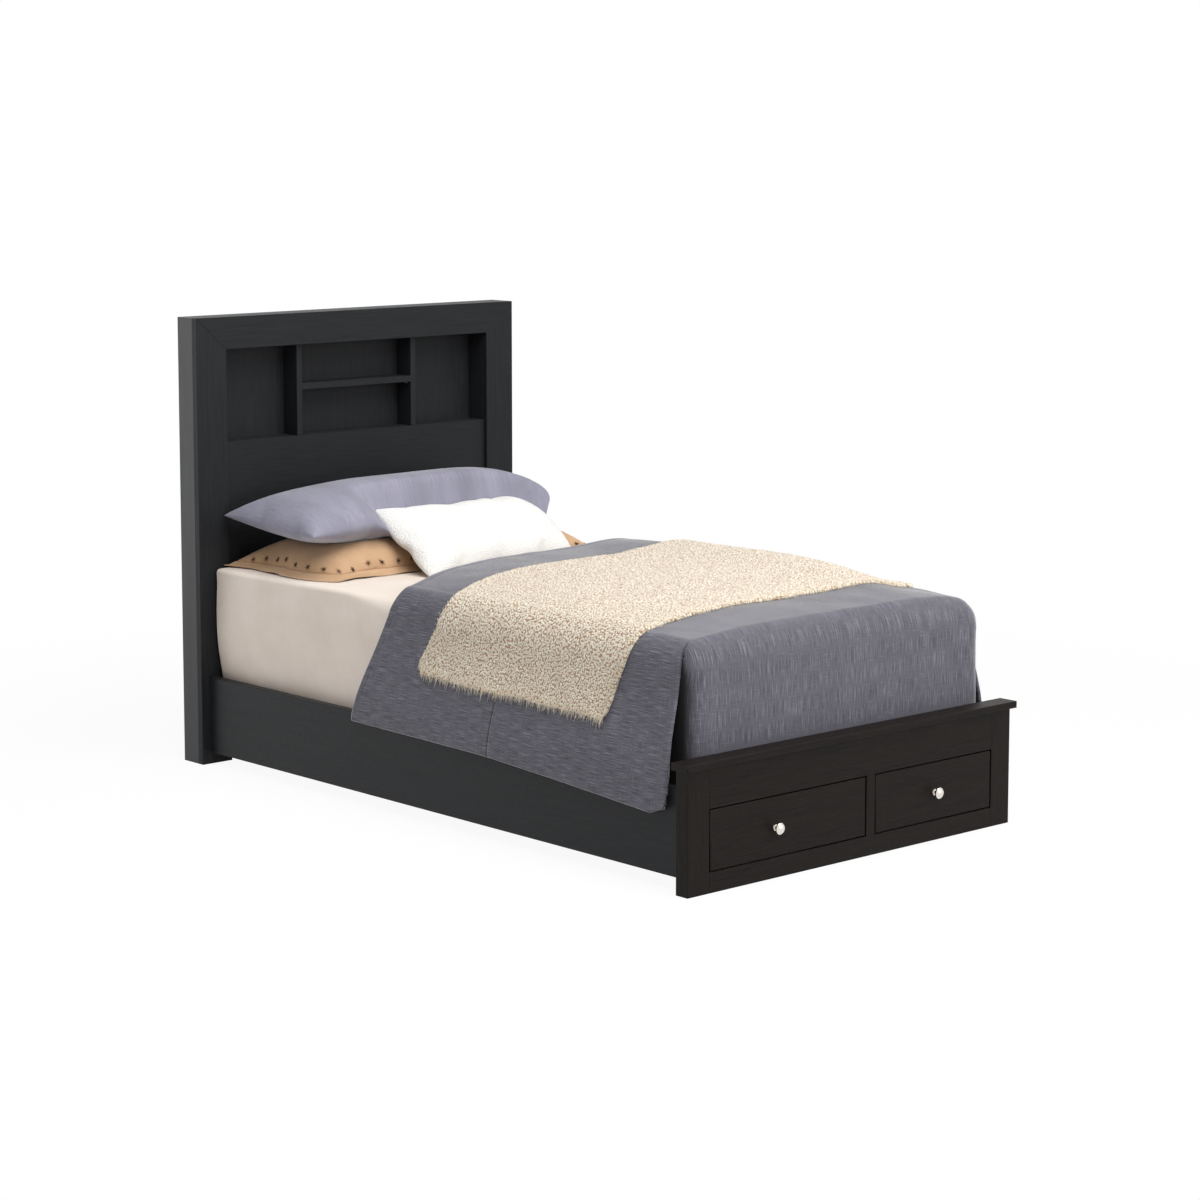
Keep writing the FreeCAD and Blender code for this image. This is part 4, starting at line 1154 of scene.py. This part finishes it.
def make_comforter(material):
    patches = [quilt_main(), quilt_foot()]
    patches += [quilt_corner(row_of, sign) for sign in (-1, 1) for row_of in (flap_row, panel_row)]
    points, values, quads = welded(patches)
    u, v, side, foot, edge, hollow_and_shade = values.T
    points = flared(points)
    rounding = np.clip(edge / quilt_roundness, 0, 1)
    relief = quilt_relief(u, v, side, foot, edge) * rounding
    points = points + point_normals(points, quads) * relief[:, None]
    hang = np.maximum(side, foot)
    loft = quilt_rise + (quilt_side - quilt_rise) * blend_in(0, shoulder_arc, hang)
    loft = loft * (1 - 0.5 * hollow_and_shade) + crown_height(u, v) * (hang <= 0)
    mesh = thick_sheet("comforter_cloth", points, quads, loft, edge, quilt_roundness, np.stack([u, v], 1))
    # The shade attribute darkens the cloth toward near-black: painted shade in the slit's hollow, and a dark
    # line down the seam
    shade = np.clip(seam_share(u, v, side) + hollow_and_shade, 0, 1)
    shade = np.concatenate([shade, shade[~rim_points(len(points), quads)]])
    mesh.attributes.new("shade", "FLOAT", "POINT").data.foreach_set("value", shade.astype(np.float32))
    cloth = finished(link("comforter_cloth", mesh, [material]), "frame", ["comforter"])
    return cloth


# Throw blanket


def quilt_face(u, y):
    """The comforter's plain outer face, for flat distances across the bed, and its normals."""
    side = np.clip(np.abs(u) - flat_half, 0, None)
    turn = np.clip(side / shoulder_arc, 0, 1) * quarter_turn
    hang_z = shoulder_z - np.clip(side - shoulder_arc, 0, None)
    reach = shoulder_wide * np.sin(turn) + rail_lean(hang_z)
    x = np.sign(u) * (np.minimum(np.abs(u), flat_half) + reach)
    top = bedding_floor + quilt_rise + crown_height(u, y)
    rounded = shoulder_z + shoulder_high * np.cos(turn)
    z = np.where(side <= 0, top, np.where(side < shoulder_arc, rounded, hang_z))
    normal = np.stack([np.sign(u) * np.sin(turn), np.zeros_like(turn), np.cos(turn)], -1)
    return np.stack([x, y, z], -1), normal


def nearest_loop(x, y, pitch, seed):
    """The distance in pitches from each place to the nearest of some scattered loops, and its rank."""
    size = 97
    random = np.random.RandomState(seed)
    shift_x, shift_y, rank = (random.uniform(0, 1, (size, size)) for _ in range(3))
    x, y = x / pitch, y / pitch
    i, j = np.floor(x).astype(int), np.floor(y).astype(int)
    best = np.full(x.shape, no_hit)
    number = np.zeros(x.shape)
    for di in (-1, 0, 1):
        for dj in (-1, 0, 1):
            a, b = (i + di) % size, (j + dj) % size
            gap_x = i + di + 0.15 + 0.7 * shift_x[a, b] - x
            gap_y = j + dj + 0.15 + 0.7 * shift_y[a, b] - y
            gap = np.hypot(gap_x, gap_y)
            number = np.where(gap < best, rank[a, b], number)
            best = np.minimum(best, gap)
    return best, number


def blurred(grid, times):
    for _ in range(times):
        wide = np.pad(grid, 1, mode="edge")
        grid = (wide[:-2, 1:-1] + wide[2:, 1:-1] + wide[1:-1, :-2] + wide[1:-1, 2:] + 2 * grid) / 6
    return grid


def corner_draw(gap, radius):
    """How far a hem draws back near a rounded corner."""
    return radius * (1 - rounded_in(gap / radius))


def points_round(centre, first, second, radius, count):
    """Points on a circle round a centre, in the plane of two directions."""
    angles = [turn * 2 * math.pi / count for turn in range(count)]
    return [centre + (first * math.cos(angle) + second * math.sin(angle)) * radius for angle in angles]


def hair(root, out, normal, side, length, random):
    """One loose fibre: a slim three-sided form that bends on its way out."""
    lift, swing, droop = random.uniform(0.1, 0.7), random.uniform(-0.8, 0.8), random.uniform(0.2, 0.9)
    toward = unit(out + normal * lift + side * swing)
    across = unit(np.cross(toward, normal))

    def centre_at(share):
        return root + toward * length * share + np.array([0, 0, -droop * length * share ** 2])

    points = []
    for share in (0, 0.4, 0.75):
        points += points_round(centre_at(share), across, normal, fibre_radius * (1 - 0.5 * share), 3)
    points.append(centre_at(1))
    faces = [[2, 1, 0]]
    for turn in range(3):
        after = (turn + 1) % 3
        faces.append([turn, after, 3 + after, 3 + turn])
        faces.append([3 + turn, 3 + after, 6 + after, 6 + turn])
        faces.append([6 + turn, 6 + after, 9])
    return points, faces


def make_fibres(material, outer, normal):
    """The loose fibres that stand out round the throw's edges."""
    random = np.random.RandomState(51)
    columns, rows = np.swapaxes(outer, 0, 1), np.swapaxes(normal, 0, 1)
    borders = [(columns, rows[0]), (columns[::-1], rows[-1]), (outer, normal[0]), (outer[::-1], normal[-1])]
    points, faces = [], []
    for band, up in borders:
        rim, inside = band[0], band[4]
        travelled = run_lengths(rim)[:-1]
        for place in random.uniform(0, travelled[-1], int(travelled[-1] * fibre_density)):
            number = min(int(np.searchsorted(travelled, place)), len(rim) - 2)
            out = unit(rim[number] - inside[number])
            side = unit(rim[number + 1] - rim[number])
            root = band[random.randint(0, 8), number] + side * throw_cell * random.uniform(0, 1)
            length = random.uniform(*fibre_lengths) * random.uniform(0.4, 1)
            more, quads = hair(root, out, up[number], side, length, random)
            faces += shifted(quads, len(points))
            points += more
    mesh = mesh_from("throw_fibres", points, faces, np.array(points)[:, :2])
    return finished(link("throw_fibres", mesh, [material]), "frame")


def throw_places(p, q):
    """The throw's places across the bed, laid flat, and along it, for shares of its width and length."""
    hem_length = flat_half + shoulder_arc + shoulder_z
    left = -(hem_length - (throw_left_hems[0] + (throw_left_hems[1] - throw_left_hems[0]) * q))
    left += throw_hem_wave * hills(q * 9, 0 * q, 21)
    left += corner_draw(q * throw_shortest, throw_corners[0])
    left += corner_draw((1 - q) * throw_shortest, throw_corners[1])
    u = left + (hem_length - throw_right_hem - left) * p
    fine = np.linspace(-0.75, 0.7, 300)

    def edge_line(places, seed):
        line = smooth_line(throw_across, [along(d) for d in places], fine, 21)
        return np.interp(u, fine, line + throw_edge_wave * hills(fine / 0.06, 0 * fine, seed))

    foot, head = edge_line(throw_foot_places, 22), edge_line(throw_head_places, 23)
    return u, foot + (head - foot) * q


def level_over(cloth, face, normal):
    """How high over a plain face a throw lies that rests on a cloth and bridges the cloth's hollows."""
    tree = tree_of(cloth.data)
    above = 0.06
    height = np.zeros(face.shape[:2])
    for place in np.ndindex(height.shape):
        ray = normal[place]
        hit = tree.ray_cast(Vector(face[place] + ray * above), Vector(-ray), 2 * above)
        height[place] = above - hit[3] if hit[0] is not None else 0
    return np.maximum(height, blurred(height, 3)) + throw_lift


def finer(grid, sizes):
    """The values of a coarse grid on a fine one."""
    for size in sizes:
        places = np.arange(size) / under_step
        before = np.minimum(places.astype(int), len(grid) - 2)
        share = (places - before)[:, None]
        grid = (grid[before] * (1 - share) + grid[before + 1] * share).T
    return grid


def pile_lift(u, y, edge):
    """How far the throw's face stands over its underside, with its loops of pile."""
    fullness = rounded_in(edge / throw_edge)
    gap, rank = nearest_loop(u + loop_scatter * hills(u / 0.004, y / 0.004, 24), y, loop_pitch, 25)
    dome = np.sqrt(np.clip(1 - (gap / 0.66) ** 2, 0, 1)) * (0.55 + 0.45 * rank)
    grit = 0.5 + 0.5 * hills(u / 0.0021, y / 0.0021, 26)
    pile = np.clip(dome * 0.85 + 0.15 * grit, 0, 1)
    ground = (throw_thickness - throw_pile) * (0.35 + 0.65 * fullness)
    return ground + throw_pile * pile * (0.5 + 0.5 * fullness)


def closed_faces(rows, columns, small_rows, small_columns):
    """The faces of a fine grid, of a coarse one under it, and of the walls that join their edges."""
    fine = np.arange(rows * columns).reshape(rows, columns)
    coarse = rows * columns + np.arange(small_rows * small_columns).reshape(small_rows, small_columns)
    faces = faces_of(rows, columns).tolist()
    faces += faces_of(small_rows, small_columns, first=rows * columns)[:, ::-1].tolist()
    edges = [(fine[0, ::-1], coarse[0, ::-1]), (fine[-1], coarse[-1])]
    edges += [(fine[:, 0], coarse[:, 0]), (fine[::-1, -1], coarse[::-1, -1])]
    for upper, lower in edges:
        for number in range(len(lower) - 1):
            start = under_step * number
            faces.append([*upper[start:start + under_step + 1], lower[number + 1], lower[number]])
    return faces


def make_throw(material, fibre, comforter):
    hem_length = flat_half + shoulder_arc + shoulder_z
    width = hem_length - throw_left_hems[0] + hem_length - throw_right_hem
    sizes = (width, throw_longest)
    columns, rows = (int(round(size / throw_cell / under_step)) * under_step + 1 for size in sizes)
    p, q = np.meshgrid(np.linspace(0, 1, columns), np.linspace(0, 1, rows))
    u, y = throw_places(p, q)
    face, normal = quilt_face(u, y)
    coarse = (slice(None, None, under_step), slice(None, None, under_step))
    level = finer(level_over(comforter, face[coarse], normal[coarse]), (rows, columns))
    edge = np.minimum(np.minimum(q, 1 - q) * throw_shortest, np.minimum(p, 1 - p) * width)
    outer = face + normal * (level + pile_lift(u, y, edge))[..., None]
    outer[..., 0] += throw_ruffle * hills(u / 0.003, y / 0.003, 27)
    under = face[coarse] + normal[coarse] * level[coarse][..., None]
    flat = np.stack([u, y], -1)
    mesh = mesh_from(
        "throw_cloth",
        np.concatenate([outer.reshape(-1, 3), under.reshape(-1, 3)]),
        closed_faces(rows, columns, *under.shape[:2]),
        np.concatenate([flat.reshape(-1, 2), flat[coarse].reshape(-1, 2)]),
    )
    cloth = finished(link("throw_cloth", mesh, [material]), "frame", ["throw_blanket"])
    fibres = make_fibres(fibre, outer, normal)


# Pillows and cushion


def envelope(length, width, cell):
    """Two rectangles of cloth sewn together: places from -1 to 1, sides, quads and the seam's points."""
    columns = int(round(length / cell)) + 1
    rows = int(round(width / cell)) + 1
    across, back = np.meshgrid(np.linspace(-1, 1, columns), np.linspace(-1, 1, rows))
    rim = np.zeros((rows, columns), bool)
    rim[0] = rim[-1] = True
    rim[:, 0] = rim[:, -1] = True
    above = np.arange(rows * columns).reshape(rows, columns)
    below = above.copy()
    below[~rim] = rows * columns + np.arange((~rim).sum())
    place = np.stack([across, back], -1).reshape(-1, 2)
    rim = rim.reshape(-1)
    place = np.concatenate([place, place[~rim]])
    face = np.where(np.arange(len(place)) < rows * columns, 1.0, -1.0)
    face[:rows * columns][rim] = 0

    def quads(grid):
        return np.stack([grid[:-1, :-1], grid[:-1, 1:], grid[1:, 1:], grid[1:, :-1]], -1).reshape(-1, 4)

    seam = np.flatnonzero(face == 0)
    seam = seam[np.argsort(np.arctan2(place[seam, 1], place[seam, 0]))]
    return place, face, np.concatenate([quads(above), quads(below)[:, ::-1]]), seam


def rounded_outline(place, corners):
    """Places on a square turned into places on one whose corners are rounded, each by its own share."""
    s, t = place.T
    left, back = (1 - s) / 2, (1 + t) / 2
    back_left, back_right, front_left, front_right = corners
    share = left * (back * back_left + (1 - back) * front_left)
    share = share + (1 - left) * (back * back_right + (1 - back) * front_right)
    return np.column_stack([s * np.sqrt(1 - share * t * t / 2), t * np.sqrt(1 - share * s * s / 2)])


def lens(place, face, length, width, crown, belly, corners):
    """A plain padded form: high in the middle, thin at its seam, drawn in between its corners."""
    s, t = place.T
    height = (1 - s ** 6) ** 0.6 * (1 - t ** 2) ** 0.6
    x, y = (rounded_outline(place, corners) * np.array([length / 2, width / 2])).T
    x = x * (1 - 0.03 * (1 - t ** 2))
    y = y * (1 - 0.05 * (1 - s ** 2))
    z = np.where(face > 0, crown, belly) * height * np.sign(face)
    return np.stack([x, y, z], -1)


def blown_up(points, quads):
    """The form that a sewn cover takes when it is filled, from a cloth simulation."""
    cover = link("cover", mesh_from("cover", points, quads.tolist()), [])
    cloth = cover.modifiers.new("cloth", "CLOTH")
    settings = cloth.settings
    settings.quality = 6
    settings.mass = 0.3
    settings.tension_stiffness = settings.compression_stiffness = 15
    settings.shear_stiffness = 5
    settings.bending_stiffness = 0.5
    settings.tension_damping = settings.compression_damping = settings.shear_damping = 8
    settings.air_damping = 6
    settings.use_pressure = True
    settings.uniform_pressure_force = cover_pressure
    settings.effector_weights.gravity = 0
    cloth.collision_settings.use_collision = False
    cloth.point_cache.frame_start = 1
    cloth.point_cache.frame_end = cover_frames
    for number in range(1, cover_frames + 1):
        scene.frame_set(number)
    settled = cover.evaluated_get(bpy.context.evaluated_depsgraph_get())
    filled = np.array([vertex.co for vertex in settled.data.vertices])
    bpy.data.objects.remove(cover)
    scene.frame_set(1)
    return filled


def smoothed(points, quads, passes):
    """Points drawn toward the middle of their neighbours, which takes out small ripples."""
    pairs = quad_edges(quads)
    count = np.bincount(pairs[:, 0], minlength=len(points))[:, None]
    for _ in range(passes):
        total = np.zeros_like(points)
        np.add.at(total, pairs[:, 0], points[pairs[:, 1]])
        points = points * 0.5 + total / count * 0.5
    return points


def filled_cover(place, face, quads, length, width, crown, belly, corners):
    """A filled cover of the given size about its seam's plane."""
    plain = lens(place, face, length, width, crown, belly, corners)
    start = lens(
        place, face, length * cover_growth[0], width * cover_growth[1],
        crown * cover_start_share, belly * cover_start_share, corners,
    )
    filled = smoothed(blown_up(start, quads), quads, cover_smoothing)
    filled[:, :2] -= (filled[:, :2].max(0) + filled[:, :2].min(0)) / 2
    filled[:, 2] -= np.median(filled[face == 0, 2])
    filled[:, :2] *= np.array([length, width]) / np.ptp(filled[:, :2], axis=0)
    rise = np.where(filled[:, 2] > 0, crown / filled[:, 2].max(), -belly / filled[:, 2].min())
    filled[:, 2] *= rise
    return filled * (1 - cover_quilting) + plain * cover_quilting


def laid(points, offset, setback, height, yaw, tilt, roll):
    """Tilts and turns a pillow about its middle, and puts it before the headboard."""
    turn = Matrix.Rotation(math.radians(yaw), 3, "Z") @ Matrix.Rotation(math.radians(tilt), 3, "X")
    turn = turn @ Matrix.Rotation(math.radians(roll), 3, "Y")
    return points @ np.array(turn).T + np.array([offset, head_front + setback, bedding_floor + height])


def ceiling(points, tree):
    """The height at which another piece lies over each point."""
    found = np.full(len(points), no_hit)
    for number, (x, y) in enumerate(points[:, :2]):
        hit = tree.ray_cast(Vector((x, y, sheet_top - 0.3)), Vector((0, 0, 1)))
        if hit[0] is not None:
            found[number] = hit[0].z - pillow_gap
    return found


def soft_least(first, second, width):
    """The smaller of two numbers, with a smooth change from one to the other."""
    share = np.clip(0.5 + (second - first) / (2 * width), 0, 1)
    return second + (first - second) * share - width * share * (1 - share)


def pressed(points, trees):
    """Keeps a pillow over the bedding floor and softly under the pieces that lie on it."""
    z = points[:, 2]
    for tree, softness in trees:
        z = soft_least(z, ceiling(points, tree), softness)
    lowest = bedding_floor + pillow_lift
    z = -soft_least(-z, np.full(len(z), -lowest), pillow_floor_softness)
    return np.column_stack([points[:, :2], np.maximum(z, lowest)])


def flange_ring(place, rim, turn):
    """A flat double border sewn round a pillow's seam, that hangs down to the sheet."""
    s, t = place.T
    reach = np.stack([s, t * np.where(t > 0, 1 - (1 - flange_back_share) * t ** 4, 1)], 1)
    reach = reach @ turn.T * flange_width
    along_rim = run_lengths(rim)[1:]
    wave = hills(along_rim / 0.06, 0 * along_rim, 31)
    rings = []
    for side, shares in ((1, flange_shares), (-1, flange_shares[::-1])):
        for share in shares:
            open_share = max(share, 0)
            ring = rim.copy()
            ring[:, :2] += reach * share
            floor = bedding_floor + flange_lift + open_share * flange_wave * (1 + wave)
            ring[:, 2] += (floor - rim[:, 2]) * min(open_share * 1.5, 1) ** 1.2
            rounding = 0.3 if share == 1.0 else 1
            ring[:, 2] += side * flange_thickness / 2 * rounding
            ring[:, 1] = np.minimum(ring[:, 1], head_front - flange_head_gap)
            rings.append(ring)
    points = np.concatenate(rings)
    quads = faces_of(len(rings) + 1, len(rim), wrap=True) % len(points)
    flat = [np.stack([along_rim, np.full(len(rim), 0.3 + 0.03 * row)], 1) for row in range(len(rings))]
    return points, quads.tolist(), np.concatenate(flat)


def stroke(start, end, normal):
    """One raised stitch: a slim form with pointed ends."""
    run = end - start
    side = np.cross(normal, unit(run))
    points = [start, end]
    for share, size in ((0.25, 0.85), (0.5, 1.0), (0.75, 0.85)):
        points += points_round(start + run * share, side, normal, thread_radius * size, 6)
    faces = []
    for turn in range(6):
        after = (turn + 1) % 6
        faces.append([0, 2 + after, 2 + turn])
        faces.append([2 + turn, 2 + after, 8 + after, 8 + turn])
        faces.append([8 + turn, 8 + after, 14 + after, 14 + turn])
        faces.append([1, 14 + turn, 14 + after])
    return points, faces


def make_stars(pad, material, seam, inward):
    """A row of small stitched stars just inside the pillow's seam."""
    tree = tree_of(pad.data)
    travelled = run_lengths(seam)[:-1]
    points, faces = [], []
    random = np.random.RandomState(41)
    for place in np.arange(0.5, travelled[-1] / star_spacing) * star_spacing:
        number = int(np.searchsorted(travelled, place))
        x, y = seam[number, :2] + inward[number] * star_inset
        hit = tree.ray_cast(Vector((x, y, seam[number, 2] + 0.2)), Vector((0, 0, -1)))
        if hit[0] is None:
            continue
        normal = np.array(hit[1])
        first = unit(np.cross(normal, [0, 1, 0.1]))
        second = np.cross(normal, first)
        turned = random.uniform(0, math.pi / 4)
        for ray in range(4):
            angle = turned + ray * math.pi / 4
            reach = (first * math.cos(angle) + second * math.sin(angle)) * star_size
            reach = reach * random.uniform(0.8, 1.1)
            start, end = (
                np.array(tree.find_nearest(Vector(np.array(hit[0]) + side))[0]) + normal * thread_lift
                for side in (-reach, reach)
            )
            more, quads = stroke(start, end, normal)
            faces += shifted(quads, len(points))
            points += [point + normal * thread_crossing * (ray % 2) for point in more]
    mesh = mesh_from("tan_pillow_stars", points, faces)
    return finished(link("tan_pillow_stars", mesh, [material]), "frame")


def make_pillow(name, form, place_in_bed, cell, material, others, flanged=False):
    """One filled pillow that rests on the bedding, under the pieces that lie on it."""
    length, width = form[:2]
    yaw = place_in_bed[3]
    place, face, quads, seam = envelope(length, width, cell)
    points = pressed(laid(filled_cover(place, face, quads, *form), *place_in_bed), others)
    flat = place * np.array([length / 2, width / 2])
    quads = quads.tolist()
    turn = np.array(Matrix.Rotation(math.radians(yaw), 2))
    rim = points[seam]
    if flanged:
        ring, ring_quads, ring_flat = flange_ring(place[seam], rim, turn)
        quads += shifted(ring_quads, len(points))
        points = np.concatenate([points, ring])
        flat = np.concatenate([flat, ring_flat])
    mesh = mesh_from(name + "_pad", points, quads, flat)
    pad = finished(link(name + "_pad", mesh, [material]), "frame", [name])
    softer = pad.modifiers.new("softer", "SUBSURF")
    softer.levels = softer.render_levels = 1
    return pad, rim, -place[seam] @ turn.T


def cushion_dent():
    """The hollow that the cushion presses into the pillow behind it, as planes that rise round its edges."""
    length, width = cushion_form[:2]
    x, y = length / 2 - dent_inset, width / 2 - dent_inset
    far, back = x + dent_reach, y + dent_reach
    inner = [(-x, -y, 0), (x, -y, 0), (x, y, 0), (-x, y, 0)]
    outer = [(-far, -y, dent_rise), (far, -y, dent_rise), (far, back, dent_rise), (-far, back, dent_rise)]
    corners = laid(np.array(inner + outer), *cushion_place)
    faces = [(0, 1, 2, 3), (0, 3, 7, 4), (1, 5, 6, 2), (3, 2, 6, 7)]
    return BVHTree.FromPolygons([Vector(corner) for corner in corners], faces)


def make_pillows(grey, tan, white, thread):
    cushion = make_pillow("white_cushion", cushion_form, cushion_place, cushion_cell, white, [])[0]
    over = [(cushion_dent(), dent_softness), (tree_of(cushion.data), cover_softness)]
    upper = make_pillow("grey_pillow", grey_form, grey_place, grey_cell, grey, over)[0]
    over.append((tree_of(upper.data), cover_softness))
    lower = make_pillow("tan_pillow", tan_form, tan_place, tan_cell, tan, over, flanged=True)
    make_stars(lower[0], thread, *lower[1:])


# The whole scene


def main():
    scene.view_settings.view_transform = "Standard"
    make_camera()
    make_light()
    make_floor()
    dress_wood()
    dress_hardware()
    ticking = plain_cloth_material("mattress_ticking", colour(232, 228, 218), colour(212, 207, 196), 0.1)
    cream = plain_cloth_material("cream_sheet", colour(223, 212, 202), colour(214, 201, 189), 0.1)
    slub = slub_material(
        "slub_cotton", colour(89, 88, 96), colour(124, 123, 133), colour(64, 63, 71), 1.0, shaded=True,
    )
    grey = slub_material(
        "grey_cotton", colour(140, 139, 154), colour(156, 155, 170), colour(106, 105, 115), 0.5,
        streak=0.5, clouds=0.6,
    )
    tan = plain_cloth_material("tan_cotton", colour(190, 157, 124), colour(172, 139, 106), 0.2)
    # Both piles darken the gaps between their loops toward their second colour, as painted shade
    pile = pile_material("cream_pile", colour(255, 248, 226), colour(166, 120, 76), 195, 0.9, 0.7, 3.5 * MM)
    white = pile_material("white_pile", colour(237, 236, 234), colour(186, 180, 172), 230, 0.3, 0.1, 1.2 * MM)
    fibre = thread_material("cream_fibres", colour(255, 248, 232), colour(226, 206, 176))
    thread = thread_material("brown_thread", colour(74, 46, 30), colour(52, 32, 22))
    make_mattress(ticking)
    make_fitted_sheet(cream)
    comforter = make_comforter(slub)
    make_throw(pile, fibre, comforter)
    make_pillows(grey, tan, white, thread)


main()
